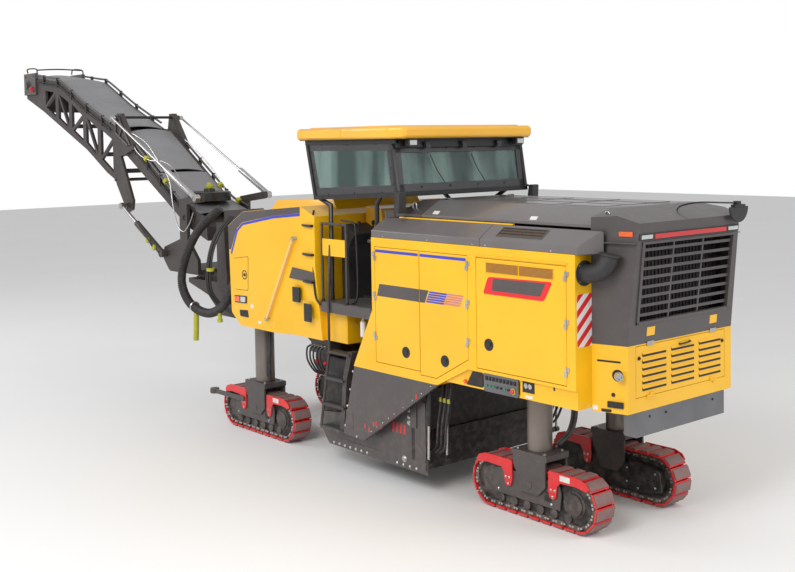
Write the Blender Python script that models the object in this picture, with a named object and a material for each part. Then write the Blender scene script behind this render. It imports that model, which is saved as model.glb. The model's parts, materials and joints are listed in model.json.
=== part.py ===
"""Cold planer: a tracked road milling machine with a folding loading conveyor.

Metres, +Z up, +X towards the conveyor head (the way it works), +Y the machine's left.
The model is laid out from a station over the milling drum, and one empty, "machine",
moves that station so that the whole machine stands centred on the origin.
"""

import math

import bmesh
import bpy
from mathutils import Matrix, Vector

# ---------------------------------------------------------------- driving sizes
SEAT = 0.0003            # gap between pieces that rest on each other
RUN = 0.006              # running clearance between moving pieces
PANEL = 0.03             # thickness of side panels and doors

BODY_HALF = 1.25         # half the width over the side panels
REAR_X = -3.80           # rear face of the yellow rear panel
CAP_X = -3.93            # rearmost edge of the cowl, which leans out to it
CAP_Z = 3.37
TIP_X = 12.24            # front face of the conveyor head
HINGE_RADIUS = 0.011     # knuckles of the door and hood hinges
HINGE_REACH = 0.012      # distance of a hinge's axis from the panel it lies on
X_MID = (CAP_X + TIP_X) / 2

# undercarriage
REAR_AXLE_X = -2.40
FRONT_AXLE_X = 2.84
REAR_TRACK_Y = 0.68
FRONT_TRACK_Y = 0.85
TRACK_LENGTH = 1.88
TRACK_HEIGHT = 0.62
TRACK_WIDTH = 0.30
TRACK_BELT = 0.06        # thickness of chain and shoe together
SHOE_COUNT = 26
SHOE_GROOVE = 0.014      # depth of the gap between two shoes
LEG_RADIUS = 0.14
SLEEVE_WALL = 0.045
YOKE_Z = 0.70            # underside of the yoke's top plate
YOKE_PLATE = 0.07
LEG_TRAVEL = 0.35        # how far a leg draws up into its sleeve
LEG_SIDES = 24
LEG_FIT = 0.0008         # sliding gap between a leg and its sleeve

# main frame
BEAM_Y = (0.42, 0.54)
BEAM_Z = (1.50, 1.70)
BEAM_X = (-3.38, 4.60)
FRONT_CROSS_Z = (2.42, 2.60)
REAR_SLEEVE_TOP = 2.42
SLEEVE_CAP = 0.02        # plate that closes a sleeve's top

# milling unit
DRUM_X = 0.05
DRUM_Z = 0.80
DRUM_RADIUS = 0.48
DRUM_HALF = 1.00
DRUM_SHAFT = 0.12
HOUSING_WALL = 0.04
HOUSING_Y = 1.06
HOUSING_TOP_Z = 1.40
SIDE_PLATE_Y = (1.072, 1.097)
SKIRT_Y = (1.222, 1.25)

# rear body
BOX_INNER_Y = 0.88
BOX_FRONT_X = -0.17
BOX_REAR_X = -3.42
BOX_TOP_Z = 3.055
BOX_SILL_Z = 1.41        # underside of the side boxes over the drum
DOOR_GAP = 0.006
COMPARTMENT_DEPTH = 0.28
HOOD_HINGE_X = -0.80
HOOD_TOP_Z = 3.50
HOOD_EDGE_Z = 3.31
HOOD_HALF = 0.98
COWL_Z = 2.13            # seam between yellow rear panel and dark cowl

# platform, front body and canopy
DECK_Z = 2.15
DECK_X = (-0.10, 0.96)
FRONT_BODY_X = 3.12
CANOPY_HALF = 1.13
ROOF_Z = (4.25, 4.40)

# conveyors
PRIMARY_HALF = 0.38
SLEW_X = 5.35
LIFT_X, LIFT_Z = 5.50, 3.02
FOLD_X, FOLD_Z = 8.05, 3.60
BOOM_HALF = 0.50
CHEEK_Y = (0.56, 0.62)
RAM_Y = 0.70
EYE_REACH = 0.055        # from the middle of a ram to the inner face of its eye
PIN_RADIUS = 0.05
FOLD_PIN = 0.03
RAM_FOOT = (6.13, 2.40)
RAM_HEAD = (7.55, 3.15)
STAY_FOOT = (4.98, 3.36)
STAY_HEAD = (7.86, 4.72)


# ---------------------------------------------------------------- shape helpers
def clear_scene():
    for item in list(bpy.data.objects):
        bpy.data.objects.remove(item, do_unlink=True)


def finish_mesh(bm):
    bmesh.ops.recalc_face_normals(bm, faces=bm.faces[:])
    mesh = bpy.data.meshes.new("shape")
    bm.to_mesh(mesh)
    bm.free()
    return mesh


def skin(rings):
    """Join rings that have as many points each, one to the next, and close both ends."""
    bm = bmesh.new()
    rows = [[bm.verts.new(point) for point in ring] for ring in rings]
    bm.faces.new(rows[0])
    bm.faces.new(rows[-1][::-1])
    count = len(rows[0])
    for near, far in zip(rows, rows[1:]):
        for i in range(count):
            j = (i + 1) % count
            bm.faces.new((near[i], far[i], far[j], near[j]))
    return finish_mesh(bm)


def prism(axis, outline, low, high):
    """Extrude an outline along an axis; it is (y, z), (x, z) or (x, y) for x, y, z."""
    place = {
        "x": lambda a, b, d: (d, a, b),
        "y": lambda a, b, d: (a, d, b),
        "z": lambda a, b, d: (a, b, d),
    }[axis]
    return skin([[place(a, b, d) for a, b in outline] for d in sorted((low, high))])


def box(x, y, z):
    outline = ((x[0], y[0]), (x[1], y[0]), (x[1], y[1]), (x[0], y[1]))
    return prism("z", outline, z[0], z[1])


def across(side, low, high):
    """A span in y on the machine's left (side 1) or right (side -1)."""
    return tuple(sorted((side * low, side * high)))


def circle(radius, sides, centre=(0.0, 0.0), turn=0.5):
    step = 2 * math.pi / sides
    angles = [(i + turn) * step for i in range(sides)]
    return [(centre[0] + radius * math.cos(a), centre[1] + radius * math.sin(a)) for a in angles]


def bore_radius(pin_radius, sides):
    """Radius of a faceted bore that a pin with as many sides turns in, almost touching."""
    return (pin_radius + SEAT) / math.cos(math.pi / sides)


def tube(points, radius, sides=8):
    """A round bar swept along a polyline, mitred at its corners."""
    points = [Vector(p) for p in points]
    rings = []
    start = (points[1] - points[0]).normalized()
    side = start.orthogonal().normalized()
    for i, point in enumerate(points):
        before = (point - points[i - 1]).normalized() if i else start
        after = (points[i + 1] - point).normalized() if i + 1 < len(points) else before
        side = (side - before * side.dot(before)).normalized()
        other = before.cross(side)
        normal = (before + after).normalized()
        ring = []
        for a, b in circle(radius, sides):
            spoke = side * a + other * b
            slide = -spoke.dot(normal) / before.dot(normal)
            ring.append(point + spoke + before * slide)
        rings.append(ring)
        side = side - (before + after) * (side.dot(after) / (1 + before.dot(after)))
    return skin(rings)


def shrink(outline, distance):
    """Move each edge of an outline inwards by a distance."""
    count = len(outline)
    area = sum(
        outline[i][0] * outline[(i + 1) % count][1] - outline[(i + 1) % count][0] * outline[i][1]
        for i in range(count)
    )
    turn = 1 if area > 0 else -1
    result = []
    for i in range(count):
        here = Vector(outline[i])
        back = (here - Vector(outline[i - 1])).normalized()
        ahead = (Vector(outline[(i + 1) % count]) - here).normalized()
        normal = Vector((-back.y, back.x)) + Vector((-ahead.y, ahead.x))
        inward = normal * turn / (1 + back.dot(ahead))
        result.append(tuple(here + inward * distance))
    return result


def combine(adds, cuts=()):
    """Union the first list of meshes, then take the second away from it."""
    objects = []
    base = bpy.data.objects.new("base", adds[0])
    bpy.context.scene.collection.objects.link(base)
    for operation, meshes in (("UNION", adds[1:]), ("DIFFERENCE", cuts)):
        if not meshes:
            continue
        group = bpy.data.collections.new("operands")
        for mesh in meshes:
            operand = bpy.data.objects.new("operand", mesh)
            group.objects.link(operand)
            objects.append(operand)
        modifier = base.modifiers.new(operation, "BOOLEAN")
        modifier.operation = operation
        modifier.operand_type = "COLLECTION"
        modifier.collection = group
        modifier.solver = "EXACT"
    bpy.context.view_layer.update()
    depsgraph = bpy.context.evaluated_depsgraph_get()
    result = bpy.data.meshes.new_from_object(base.evaluated_get(depsgraph))
    for item in [base] + objects:
        bpy.data.objects.remove(item, do_unlink=True)
    for group in list(bpy.data.collections):
        bpy.data.collections.remove(group)
    return result


# ---------------------------------------------------------------- materials and placing
def paint(name, colour, roughness, metallic=0.0, alpha=1.0):
    material = bpy.data.materials.new(name)
    material.use_nodes = True
    shader = material.node_tree.nodes["Principled BSDF"]
    shader.inputs["Base Color"].default_value = (*colour, 1.0)
    shader.inputs["Roughness"].default_value = roughness
    shader.inputs["Metallic"].default_value = metallic
    shader.inputs["Alpha"].default_value = alpha
    return material


COLOURS = {
    "yellow": ((0.90, 0.55, 0.02), 0.35, 0.0),
    "charcoal": ((0.09, 0.08, 0.08), 0.45, 0.0),
    "frame_grey": ((0.05, 0.045, 0.045), 0.5, 0.3),
    "red": ((0.75, 0.02, 0.02), 0.4, 0.0),
    "steel": ((0.45, 0.44, 0.42), 0.35, 0.9),
    "cast": ((0.12, 0.11, 0.11), 0.6, 0.6),
    "rubber": ((0.03, 0.03, 0.03), 0.8, 0.0),
    "shoe": ((0.22, 0.12, 0.12), 0.75, 0.2),
    "amber": ((0.95, 0.48, 0.04), 0.4, 0.0),
    "black": ((0.015, 0.015, 0.016), 0.45, 0.0),
    "glass": ((0.20, 0.32, 0.30), 0.08, 0.0),
}


class Pivot:
    """An empty at a station point, on the axis that its pieces turn or slide on."""

    def __init__(self, name, place, parent=None):
        self.place = Vector(place)
        self.empty = bpy.data.objects.new(name, None)
        bpy.context.scene.collection.objects.link(self.empty)
        if parent is None:
            self.empty.location = (-X_MID, 0.0, 0.0)
        else:
            self.empty.parent = parent.empty
            self.empty.location = self.place - parent.place


def solid(name, colour, pivot, adds, cuts=()):
    """Make one named piece from station-frame meshes and hang it on its pivot."""
    mesh = combine(adds, cuts) if len(adds) > 1 or cuts else adds[0]
    mesh.transform(Matrix.Translation(-pivot.place))
    mesh.name = name
    mesh.materials.clear()
    shade = 0.35 if colour == "glass" else 1.0
    mesh.materials.append(paint(name, *COLOURS[colour], alpha=shade))
    piece = bpy.data.objects.new(name, mesh)
    bpy.context.scene.collection.objects.link(piece)
    piece.parent = pivot.empty
    return piece


SIDES = (("left", 1), ("right", -1))


# ---------------------------------------------------------------- main frame and drive
def leg_places():
    places = []
    for side_name, side in SIDES:
        places.append(("front_" + side_name, FRONT_AXLE_X, side * FRONT_TRACK_Y))
        places.append(("rear_" + side_name, REAR_AXLE_X, side * REAR_TRACK_Y))
    return places


def sleeve_top(x):
    return FRONT_CROSS_Z[1] - 0.01 if x > 0 else REAR_SLEEVE_TOP


def main_frame(root):
    sleeve = LEG_RADIUS + RUN + SLEEVE_WALL
    adds = []
    for _, side in SIDES:
        adds.append(box(BEAM_X, across(side, *BEAM_Y), BEAM_Z))
        tie = across(side, BEAM_Y[1] - 0.02, FRONT_TRACK_Y)
        span = (FRONT_AXLE_X - 0.18, FRONT_AXLE_X + 0.06)
        adds.append(box(span, across(side, *BEAM_Y), (1.60, 1.98)))
        adds.append(box(span, tie, (1.82, 1.98)))
        adds.append(box((BEAM_X[1] - 0.30, BEAM_X[1] - 0.02), across(side, *BEAM_Y), (1.60, 1.90)))
    reach = BOX_INNER_Y - SEAT
    adds.append(box((REAR_AXLE_X - 0.24, REAR_AXLE_X + 0.24), (-reach, reach), (1.48, 1.66)))
    reach = BODY_HALF - PANEL - SEAT
    adds.append(box((FRONT_AXLE_X - 0.16, FRONT_AXLE_X + 0.16), (-reach, reach), FRONT_CROSS_Z))
    reach = BEAM_Y[1] - 0.02
    adds.append(box((-3.34, -3.20), (-reach, reach), (1.52, 1.68)))
    cuts = []
    for _, x, y in leg_places():
        top = sleeve_top(x)
        bottom = 1.80 if x > 0 else 1.46
        adds.append(prism("z", circle(sleeve, LEG_SIDES, (x, y)), bottom, top))
        cuts.append(prism("z", circle(LEG_RADIUS + LEG_FIT, LEG_SIDES, (x, y)), 1.0, top - SLEEVE_CAP))
    solid("main_frame", "frame_grey", root, adds, cuts)


def engine_block(root):
    reach = BEAM_Y[0] + 0.04
    block = box((-3.00, -1.15), (-reach, reach), (BEAM_Z[1] + SEAT, 2.92))
    solid("engine_block", "cast", root, [block])


def drum_housing(root):
    outer = [
        (-0.80, 0.52), (-0.80, HOUSING_TOP_Z), (1.00, HOUSING_TOP_Z),
        (1.12, 1.10), (1.12, 0.60), (1.00, 0.52),
    ]
    shell = prism("y", outer, -HOUSING_Y, HOUSING_Y)
    cap = box((-0.70, 0.90), (-0.60, 0.60), (HOUSING_TOP_Z - 0.02, BEAM_Z[0] - SEAT))
    reach = HOUSING_Y - HOUSING_WALL
    inside = [(-0.76, 0.20), (-0.76, 1.10), (-0.40, 1.41), (0.90, 1.41), (1.08, 1.08), (1.08, 0.20)]
    hollow = prism("y", inside, -reach, reach)
    mouth = box((1.00, 1.30), (-PRIMARY_HALF, PRIMARY_HALF), (0.20, 1.00))
    hub = circle(bore_radius(DRUM_SHAFT, 16), 16, (DRUM_X, DRUM_Z), 0.0)
    bore = prism("y", hub, -1.3, 1.3)
    guides = []
    for _, side in SIDES:
        pad = across(side, HOUSING_Y - 0.01, SIDE_PLATE_Y[0] - SEAT)
        for x in (-0.66, 0.66):
            guides.append(box((x - 0.03, x + 0.03), pad, (0.60, 1.15)))
        guides.append(box((-0.80 - RUN + SEAT, -0.78), across(side, 0.90, 0.95), (0.60, 1.15)))
    solid("drum_housing", "charcoal", root, [shell, cap] + guides, [hollow, mouth, bore])


def milling_drum(root):
    pivot = Pivot("drum_axis", (DRUM_X, 0.0, DRUM_Z), root)
    shell = prism("y", circle(DRUM_RADIUS, 32, (DRUM_X, DRUM_Z)), -DRUM_HALF, DRUM_HALF)
    shaft = prism("y", circle(DRUM_SHAFT, 16, (DRUM_X, DRUM_Z)), -HOUSING_Y + 0.004, HOUSING_Y - 0.004)
    solid("milling_drum", "steel", pivot, [shell, shaft])


def side_plates(root):
    for name, side in SIDES:
        pivot = Pivot("side_plate_axis_" + name, (0.0, side * SIDE_PLATE_Y[0], 0.24), root)
        outline = [
            (0.97, 0.25), (1.16, 0.47), (1.10, 0.66), (0.62, 0.72),
            (0.62, 1.18), (-0.98, 1.18), (-0.98, 0.24),
        ]
        plate = prism("y", outline, side * SIDE_PLATE_Y[0], side * SIDE_PLATE_Y[1])
        solid("side_plate_" + name, "charcoal", pivot, [plate])


def scraper(root):
    pivot = Pivot("scraper_axis", (-0.86, 0.0, 0.27), root)
    blade = box((-0.87, -0.80 - RUN), (-1.0, 1.0), (0.27, 1.24))
    rib = box((-0.92, -0.86), (-0.9, 0.9), (0.62, 0.74))
    solid("scraper", "frame_grey", pivot, [blade, rib])


def skirts(root):
    for name, side in SIDES:
        top = BOX_SILL_Z - SEAT
        outline = [(0.21, top), (0.46, 0.51), (0.05, 0.49), (-1.34, top)]
        plate = prism("y", outline, side * SKIRT_Y[0], side * SKIRT_Y[1])
        solid("skirt_" + name, "charcoal", root, [plate])


# ---------------------------------------------------------------- legs and tracks
def stadium(length, radius, sides, centre):
    """Outline of two straight runs and two half circles in the x-z plane."""
    reach = length / 2 - radius
    points = []
    for end, start in ((1, -90), (-1, 90)):
        for i in range(sides + 1):
            angle = math.radians(start + 180 * i / sides)
            x = centre[0] + end * reach + radius * math.cos(angle)
            points.append((x, centre[1] + radius * math.sin(angle)))
    return points


def along_stadium(length, radius, centre, distance):
    """Point and outward direction at a distance round a stadium outline."""
    reach = length / 2 - radius
    straight = 2 * reach
    arc = math.pi * radius
    distance = distance % (2 * (straight + arc))
    half = 1 if distance < straight + arc else -1
    travel = distance if half == 1 else distance - straight - arc
    if travel < straight:
        normal = (0.0, -1.0 * half)
        point = (centre[0] + half * (-reach + travel), centre[1] - half * radius)
    else:
        angle = (travel - straight) / radius - math.pi / 2
        normal = (half * math.cos(angle), half * math.sin(angle))
        point = (centre[0] + half * reach + radius * normal[0], centre[1] + radius * normal[1])
    return point, normal


def track_outline(centre):
    """Shoes round the chain, with a shallow groove between one shoe and the next."""
    radius = TRACK_HEIGHT / 2
    around = 2 * (TRACK_LENGTH - 2 * radius) + 2 * math.pi * radius
    pitch = around / SHOE_COUNT
    points = []
    for shoe in range(SHOE_COUNT):
        for share, depth in ((0.06, SHOE_GROOVE), (0.10, 0.0), (0.90, 0.0), (0.94, SHOE_GROOVE)):
            point, normal = along_stadium(TRACK_LENGTH, radius, centre, (shoe + share) * pitch)
            points.append((point[0] - normal[0] * depth, point[1] - normal[1] * depth))
    return points


def track_frame(name, pivot, x, y):
    side = 1 if y > 0 else -1
    centre = (x, TRACK_HEIGHT / 2)
    inner = TRACK_HEIGHT / 2 - TRACK_BELT - 0.012
    length = TRACK_LENGTH - 2 * TRACK_BELT - 0.024
    half = TRACK_WIDTH / 2
    cheek = half + RUN
    adds = [prism("y", stadium(length, inner, 12, centre), y - half + 0.03, y + half - 0.03)]
    width = (y - cheek - 0.03, y + cheek + 0.03)
    adds.append(box((x - 0.26, x + 0.26), width, (YOKE_Z, YOKE_Z + YOKE_PLATE)))
    yoke = [(x - 0.22, YOKE_Z + 0.02), (x + 0.22, YOKE_Z + 0.02), (x + 0.12, 0.32), (x - 0.12, 0.32)]
    for reach in (-1, 1):
        adds.append(prism("y", yoke, y + reach * cheek, y + reach * (cheek + 0.03)))
    adds.append(prism("y", circle(0.06, 12, (x, 0.40)), y - cheek - 0.02, y + cheek + 0.02))
    radius = TRACK_HEIGHT / 2
    for end in (-1, 1):
        adds += track_guard(x, y, end)
        hub = (x + end * (TRACK_LENGTH / 2 - radius), radius)
        adds.append(prism("y", circle(radius - TRACK_BELT - SEAT, 24, hub, 0.0), y - 0.05, y + 0.05))
    if x > 0:
        arm = [(x + 0.30, 0.44), (x + 0.30, 0.50), (x + 1.10, 0.50), (x + 1.10, 0.42)]
        adds.append(prism("y", arm, y + side * cheek, y + side * (cheek + 0.03)))
        eye = prism("z", circle(0.07, 12, (x + 1.16, y + side * (cheek + 0.015))), 0.42, 0.50)
        adds.append(eye)
    solid("track_frame_" + name, "frame_grey", pivot, adds)


def track_guard(x, y, end):
    """A red guard bent over one end of the track, held on a bar through the loop."""
    half = TRACK_WIDTH / 2 + RUN
    radius = TRACK_HEIGHT / 2
    hub = x + end * (TRACK_LENGTH / 2 - radius)
    outer = []
    inner = []
    for i in range(5):
        angle = math.radians(90 - 15 * i)
        for points, reach in ((outer, radius + 0.022), (inner, radius + 0.010)):
            points.append((hub + end * reach * math.cos(angle), radius + reach * math.sin(angle)))
    start = hub - end * 0.16
    strip = [(start, inner[0][1]), (start, outer[0][1])] + outer + inner[::-1]
    cheek = [(start, 0.46), (start, outer[0][1])] + outer[:4] + [(hub + end * 0.10, 0.46)]
    shapes = [prism("y", strip, y - half - 0.01, y + half + 0.01)]
    for reach in (-1, 1):
        shapes.append(prism("y", cheek, y + reach * half, y + reach * (half + 0.012)))
    shapes.append(prism("y", circle(0.03, 8, (hub - end * 0.04, 0.50)), y - half - 0.006, y + half + 0.006))
    return shapes


def undercarriage(root):
    for name, x, y in leg_places():
        leg = Pivot("leg_axis_" + name, (x, y, YOKE_Z + YOKE_PLATE), root)
        top = sleeve_top(x) - SLEEVE_CAP - LEG_TRAVEL - 0.01
        column = prism("z", circle(LEG_RADIUS, LEG_SIDES, (x, y)), YOKE_Z + YOKE_PLATE + SEAT, top)
        solid("leg_" + name, "steel", leg, [column])
        steer = Pivot("steer_axis_" + name, (x, y, YOKE_Z), leg)
        track_frame(name, steer, x, y)
        centre = (x, TRACK_HEIGHT / 2)
        half = TRACK_WIDTH / 2
        inner = stadium(TRACK_LENGTH - 2 * TRACK_BELT, TRACK_HEIGHT / 2 - TRACK_BELT, 12, centre)
        belt = prism("y", track_outline(centre), y - half, y + half)
        hollow = prism("y", inner, y - half - 0.1, y + half + 0.1)
        solid("track_" + name, "shoe", steer, [belt], [hollow])


# ---------------------------------------------------------------- rear body
BOX_OUTLINE = [
    (BOX_FRONT_X, BOX_TOP_Z), (BOX_FRONT_X, 2.16), (0.22, BOX_SILL_Z), (-1.34, BOX_SILL_Z),
    (-1.86, 1.67), (BOX_REAR_X, 1.67), (BOX_REAR_X, BOX_TOP_Z),
]
DOORS = {
    "front": [(-0.235, 2.94), (-0.235, 1.53), (-1.045, 1.53), (-1.045, 2.94)],
    "middle": [(-1.055, 2.94), (-1.055, 1.49), (-1.33, 1.49), (-1.86, 1.78), (-1.86, 2.94)],
    "rear": [(-2.00, 2.93), (-2.00, 1.71), (-3.30, 1.71), (-3.30, 2.93)],
}
HINGE_X = {"front": -0.235, "middle": -1.86, "rear": -3.30}
DOOR_EDGE = 0.006        # gap round a closed door
KNUCKLE = 0.05           # length of one hinge knuckle
LEAF_LENGTH = 0.034      # reach of a hinge leaf from the hinge's axis
LEAF_RISE = 0.010        # how far a leaf stands off its panel


def side_boxes(root):
    face = BODY_HALF - PANEL - DOOR_GAP
    for name, side in SIDES:
        adds = [prism("y", BOX_OUTLINE, side * BOX_INNER_Y, side * face)]
        border = prism("y", BOX_OUTLINE, side * (face - 0.01), side * BODY_HALF)
        lower = [(-1.42, 1.47), (-1.60, 1.70), (BOX_REAR_X, 1.70), (BOX_REAR_X, 1.47)]
        adds.append(prism("y", lower, side * BOX_INNER_Y, side * (BODY_HALF - 0.03)))
        cuts = []
        for outline in DOORS.values():
            pocket = shrink(outline, 0.05)
            cuts.append(prism("y", pocket, side * (face - COMPARTMENT_DEPTH), side * (BODY_HALF + 0.05)))
            seat = shrink(outline, -DOOR_EDGE)
            cuts.append(prism("y", seat, side * face, side * (BODY_HALF + 0.05)))
        desk = box((-2.62, -2.00), across(side, BODY_HALF - 0.20, BODY_HALF + 0.05), (1.50, 1.645))
        knuckles = []
        for place in DOORS:
            for z in hinge_heights(place):
                knuckles += knuckle(place, side, z + KNUCKLE + SEAT, False)
        shell = combine(adds + [border], cuts + [desk])
        solid("side_box_" + name, "yellow", root, [shell] + knuckles)


def door_hinge_x(place):
    """A door's hinge line lies in the gap beside its hinged edge; the sign says which way the door lies."""
    away = 1 if HINGE_X[place] == max(x for x, _ in DOORS[place]) else -1
    return HINGE_X[place] + away * DOOR_EDGE / 2, -away


def knuckle(place, side, z, on_door):
    """One hinge knuckle with its leaf, on the door or on the frame beside it."""
    x, door_way = door_hinge_x(place)
    way = door_way if on_door else -door_way
    y = side * (BODY_HALF + HINGE_REACH)
    barrel = prism("z", circle(HINGE_RADIUS, 8, (x, y)), z, z + KNUCKLE)
    span = sorted((x + way * 0.007, x + way * LEAF_LENGTH))
    leaf = box(span, across(side, BODY_HALF - 0.002, BODY_HALF + LEAF_RISE), (z, z + KNUCKLE))
    return [barrel, leaf]


def hinge_heights(place):
    """Heights of a door's three hinges."""
    low = 1.92 if place == "middle" else 1.80
    return [low, (low + 2.78) / 2, 2.78]


def doors(root):
    face = BODY_HALF - PANEL
    for name, side in SIDES:
        for place, outline in DOORS.items():
            axis = (door_hinge_x(place)[0], side * (BODY_HALF + HINGE_REACH), 2.2)
            pivot = Pivot("door_axis_%s_%s" % (place, name), axis, root)
            adds = [prism("y", outline, side * face, side * BODY_HALF)]
            for z in hinge_heights(place):
                adds += knuckle(place, side, z, True)
            solid("door_%s_%s" % (place, name), "yellow", pivot, adds)


def side_covers(root):
    for name, side in SIDES:
        section = [
            (side * BOX_INNER_Y, BOX_TOP_Z + SEAT), (side * BODY_HALF, BOX_TOP_Z + SEAT),
            (side * BODY_HALF, 3.14), (side * 1.03, 3.29), (side * BOX_INNER_Y, 3.22),
        ]
        cover = prism("x", section, -3.66, BOX_FRONT_X)
        notch = box((-4.0, BOX_REAR_X), across(side, 0.5, 1.0 + RUN), (2.9, 3.5))
        plan = [(-3.66, side * 0.9), (-3.42, side * 1.3), (-3.9, side * 1.3), (-3.9, side * 0.9)]
        trim = prism("z", plan, 2.9, 3.5)
        nose = [(BOX_FRONT_X - 0.16, 3.40), (BOX_FRONT_X + 0.10, 3.14), (BOX_FRONT_X + 0.10, 3.40)]
        front = prism("y", nose, side * 0.8, side * 1.4)
        solid("side_cover_" + name, "charcoal", root, [cover], [trim, front, notch])


def hood_section(edge, top):
    return [
        (-HOOD_HALF, edge), (-HOOD_HALF, edge + 0.03), (-0.70, top),
        (0.70, top), (HOOD_HALF, edge + 0.03), (HOOD_HALF, edge),
    ]


def hood(root):
    outer = hood_section(HOOD_EDGE_Z, HOOD_TOP_Z)
    inner = hood_section(HOOD_EDGE_Z - 0.05, HOOD_TOP_Z - PANEL)
    inner = [(y * 0.955, z) for y, z in inner]
    axis = (HOOD_HINGE_X - RUN / 2, HOOD_TOP_Z + HINGE_REACH)
    pivot = Pivot("hood_axis", (axis[0], 0.0, axis[1]), root)
    lid = prism("x", outer, BOX_REAR_X + RUN, HOOD_HINGE_X - RUN)
    hollow = prism("x", inner, BOX_REAR_X + 0.04, HOOD_HINGE_X - 0.04)
    moving = []
    fixed = []
    for _, side in SIDES:
        for target, low, way in ((moving, 0.50, -1), (fixed, 0.50 + KNUCKLE + SEAT, 1)):
            span = across(side, low, low + KNUCKLE)
            target.append(prism("y", circle(HINGE_RADIUS, 8, axis), *span))
            leaf = sorted((axis[0] + way * 0.004, axis[0] + way * 0.04))
            target.append(box(leaf, span, (HOOD_TOP_Z - 0.002, HOOD_TOP_Z + 0.006)))
    solid("hood", "charcoal", pivot, [combine([lid], [hollow])] + moving)
    front = prism("x", outer, HOOD_HINGE_X, -0.33)
    reach = BOX_INNER_Y - SEAT
    wall = box((-0.36, -0.33), (-reach, reach), (BEAM_Z[1] + SEAT, HOOD_EDGE_Z + 0.01))
    hollow = prism("x", inner, HOOD_HINGE_X - 0.1, -0.38)
    slope = prism("y", [(-0.31, 3.60), (-0.31, 3.34), (-0.36, 3.34), (-0.62, 3.60)], -1.2, 1.2)
    shell = combine([front, wall], [hollow, slope])
    solid("bulkhead", "charcoal", root, [shell] + fixed)


REAR_HALF = 1.0          # half widths of the rear body at its front and rear ends
REAR_END_HALF = 0.90


def rear_half(x):
    """Half width of the rear body at x; its sides run straight and close in rearwards."""
    share = (BOX_REAR_X - x) / (BOX_REAR_X - REAR_X)
    return REAR_HALF + (REAR_END_HALF - REAR_HALF) * share


def rear_ring(x, z, margin=0.0):
    """Outline of the rear body at a height where its rear face is at x, drawn in by a margin."""
    half = rear_half(x) - margin
    front = BOX_REAR_X - SEAT + (0.02 if margin else 0.0)
    rear = x + margin
    width = REAR_HALF - margin
    return [(front, width, z), (rear, half, z), (rear, -half, z), (front, -width, z)]


def cowl_x(z):
    """Rear face of the leaning cowl at a height."""
    return REAR_X + (CAP_X - REAR_X) * (z - COWL_Z) / (CAP_Z - COWL_Z)


LOUVRE_Y = 0.77
LOUVRE_Z = (1.59, 2.11)
LOUVRE_PLATE = 0.015
GRILLE_Y = 0.76
GRILLE_Z = (2.37, 3.15)
GRILLE_BARS = 8
REAR_FOOT_Z = 1.44       # underside of the rear body


def rear_hinge(side, on_door):
    """One hinge under the louvre door, on the door or on the panel below it."""
    axis = rear_hinge_axis()
    low = 0.50 if on_door else 0.50 + KNUCKLE + SEAT
    span = across(side, low, low + KNUCKLE)
    way = 1 if on_door else -1
    leaf = sorted((axis[1] + way * 0.007, axis[1] + way * LEAF_LENGTH))
    barrel = prism("y", circle(HINGE_RADIUS, 8, axis), *span)
    return [barrel, box((REAR_X - LEAF_RISE, REAR_X + 0.002), span, leaf)]


def rear_hinge_axis():
    return (REAR_X - HINGE_REACH, LOUVRE_Z[0] - DOOR_EDGE / 2)


def rear_body(root):
    lower = skin([rear_ring(REAR_X, REAR_FOOT_Z), rear_ring(REAR_X, COWL_Z)])
    hollow = skin([rear_ring(REAR_X, REAR_FOOT_Z + PANEL, PANEL), rear_ring(REAR_X, 2.4, PANEL)])
    reach = LOUVRE_Y - PANEL
    span = (LOUVRE_Z[0] + PANEL, LOUVRE_Z[1] - PANEL)
    window = box((REAR_X - 0.1, REAR_X + 0.1), (-reach, reach), span)
    seat = box(
        (REAR_X - 0.1, REAR_X + LOUVRE_PLATE + DOOR_GAP), (-LOUVRE_Y - DOOR_EDGE, LOUVRE_Y + DOOR_EDGE),
        (LOUVRE_Z[0] - DOOR_EDGE, LOUVRE_Z[1] + DOOR_EDGE),
    )
    shell = combine([lower], [hollow, window, seat])
    hinges = rear_hinge(1, False) + rear_hinge(-1, False)
    solid("rear_panel", "yellow", root, [shell] + hinges)
    top = HOOD_TOP_Z
    cowl = skin([
        rear_ring(cowl_x(COWL_Z + SEAT), COWL_Z + SEAT), rear_ring(CAP_X, CAP_Z), rear_ring(-3.50, top),
    ])
    shoulder = [(-1.3, 3.34), (-0.70, top), (0.70, top), (1.3, 3.34), (1.3, 3.7), (-1.3, 3.7)]
    crown = prism("x", shoulder, -4.1, -3.3)
    hollow = skin([rear_ring(cowl_x(1.9), 1.9, PANEL), rear_ring(cowl_x(3.30), 3.30, PANEL)])
    window = box((CAP_X - 0.1, REAR_X + 0.1), (-GRILLE_Y, GRILLE_Y), GRILLE_Z)
    bars = []
    reach = GRILLE_Y + 0.02
    for row in range(GRILLE_BARS):
        z = GRILLE_Z[0] + 0.045 + 0.095 * row
        face = cowl_x(z) + 0.010
        bars.append(box((face, face + 0.022), (-reach, reach), (z, z + 0.03)))
    low, high = GRILLE_Z[0] - 0.02, GRILLE_Z[1] + 0.02
    for y in (-GRILLE_Y / 3, GRILLE_Y / 3):
        corners = ((low, 0.014), (high, 0.014), (high, 0.030), (low, 0.030))
        outline = [(cowl_x(z) + depth, z) for z, depth in corners]
        bars.append(prism("y", outline, y - 0.012, y + 0.012))
    shell = combine([cowl], [crown, hollow, window])
    solid("rear_cowl", "charcoal", root, [shell] + bars)


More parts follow.
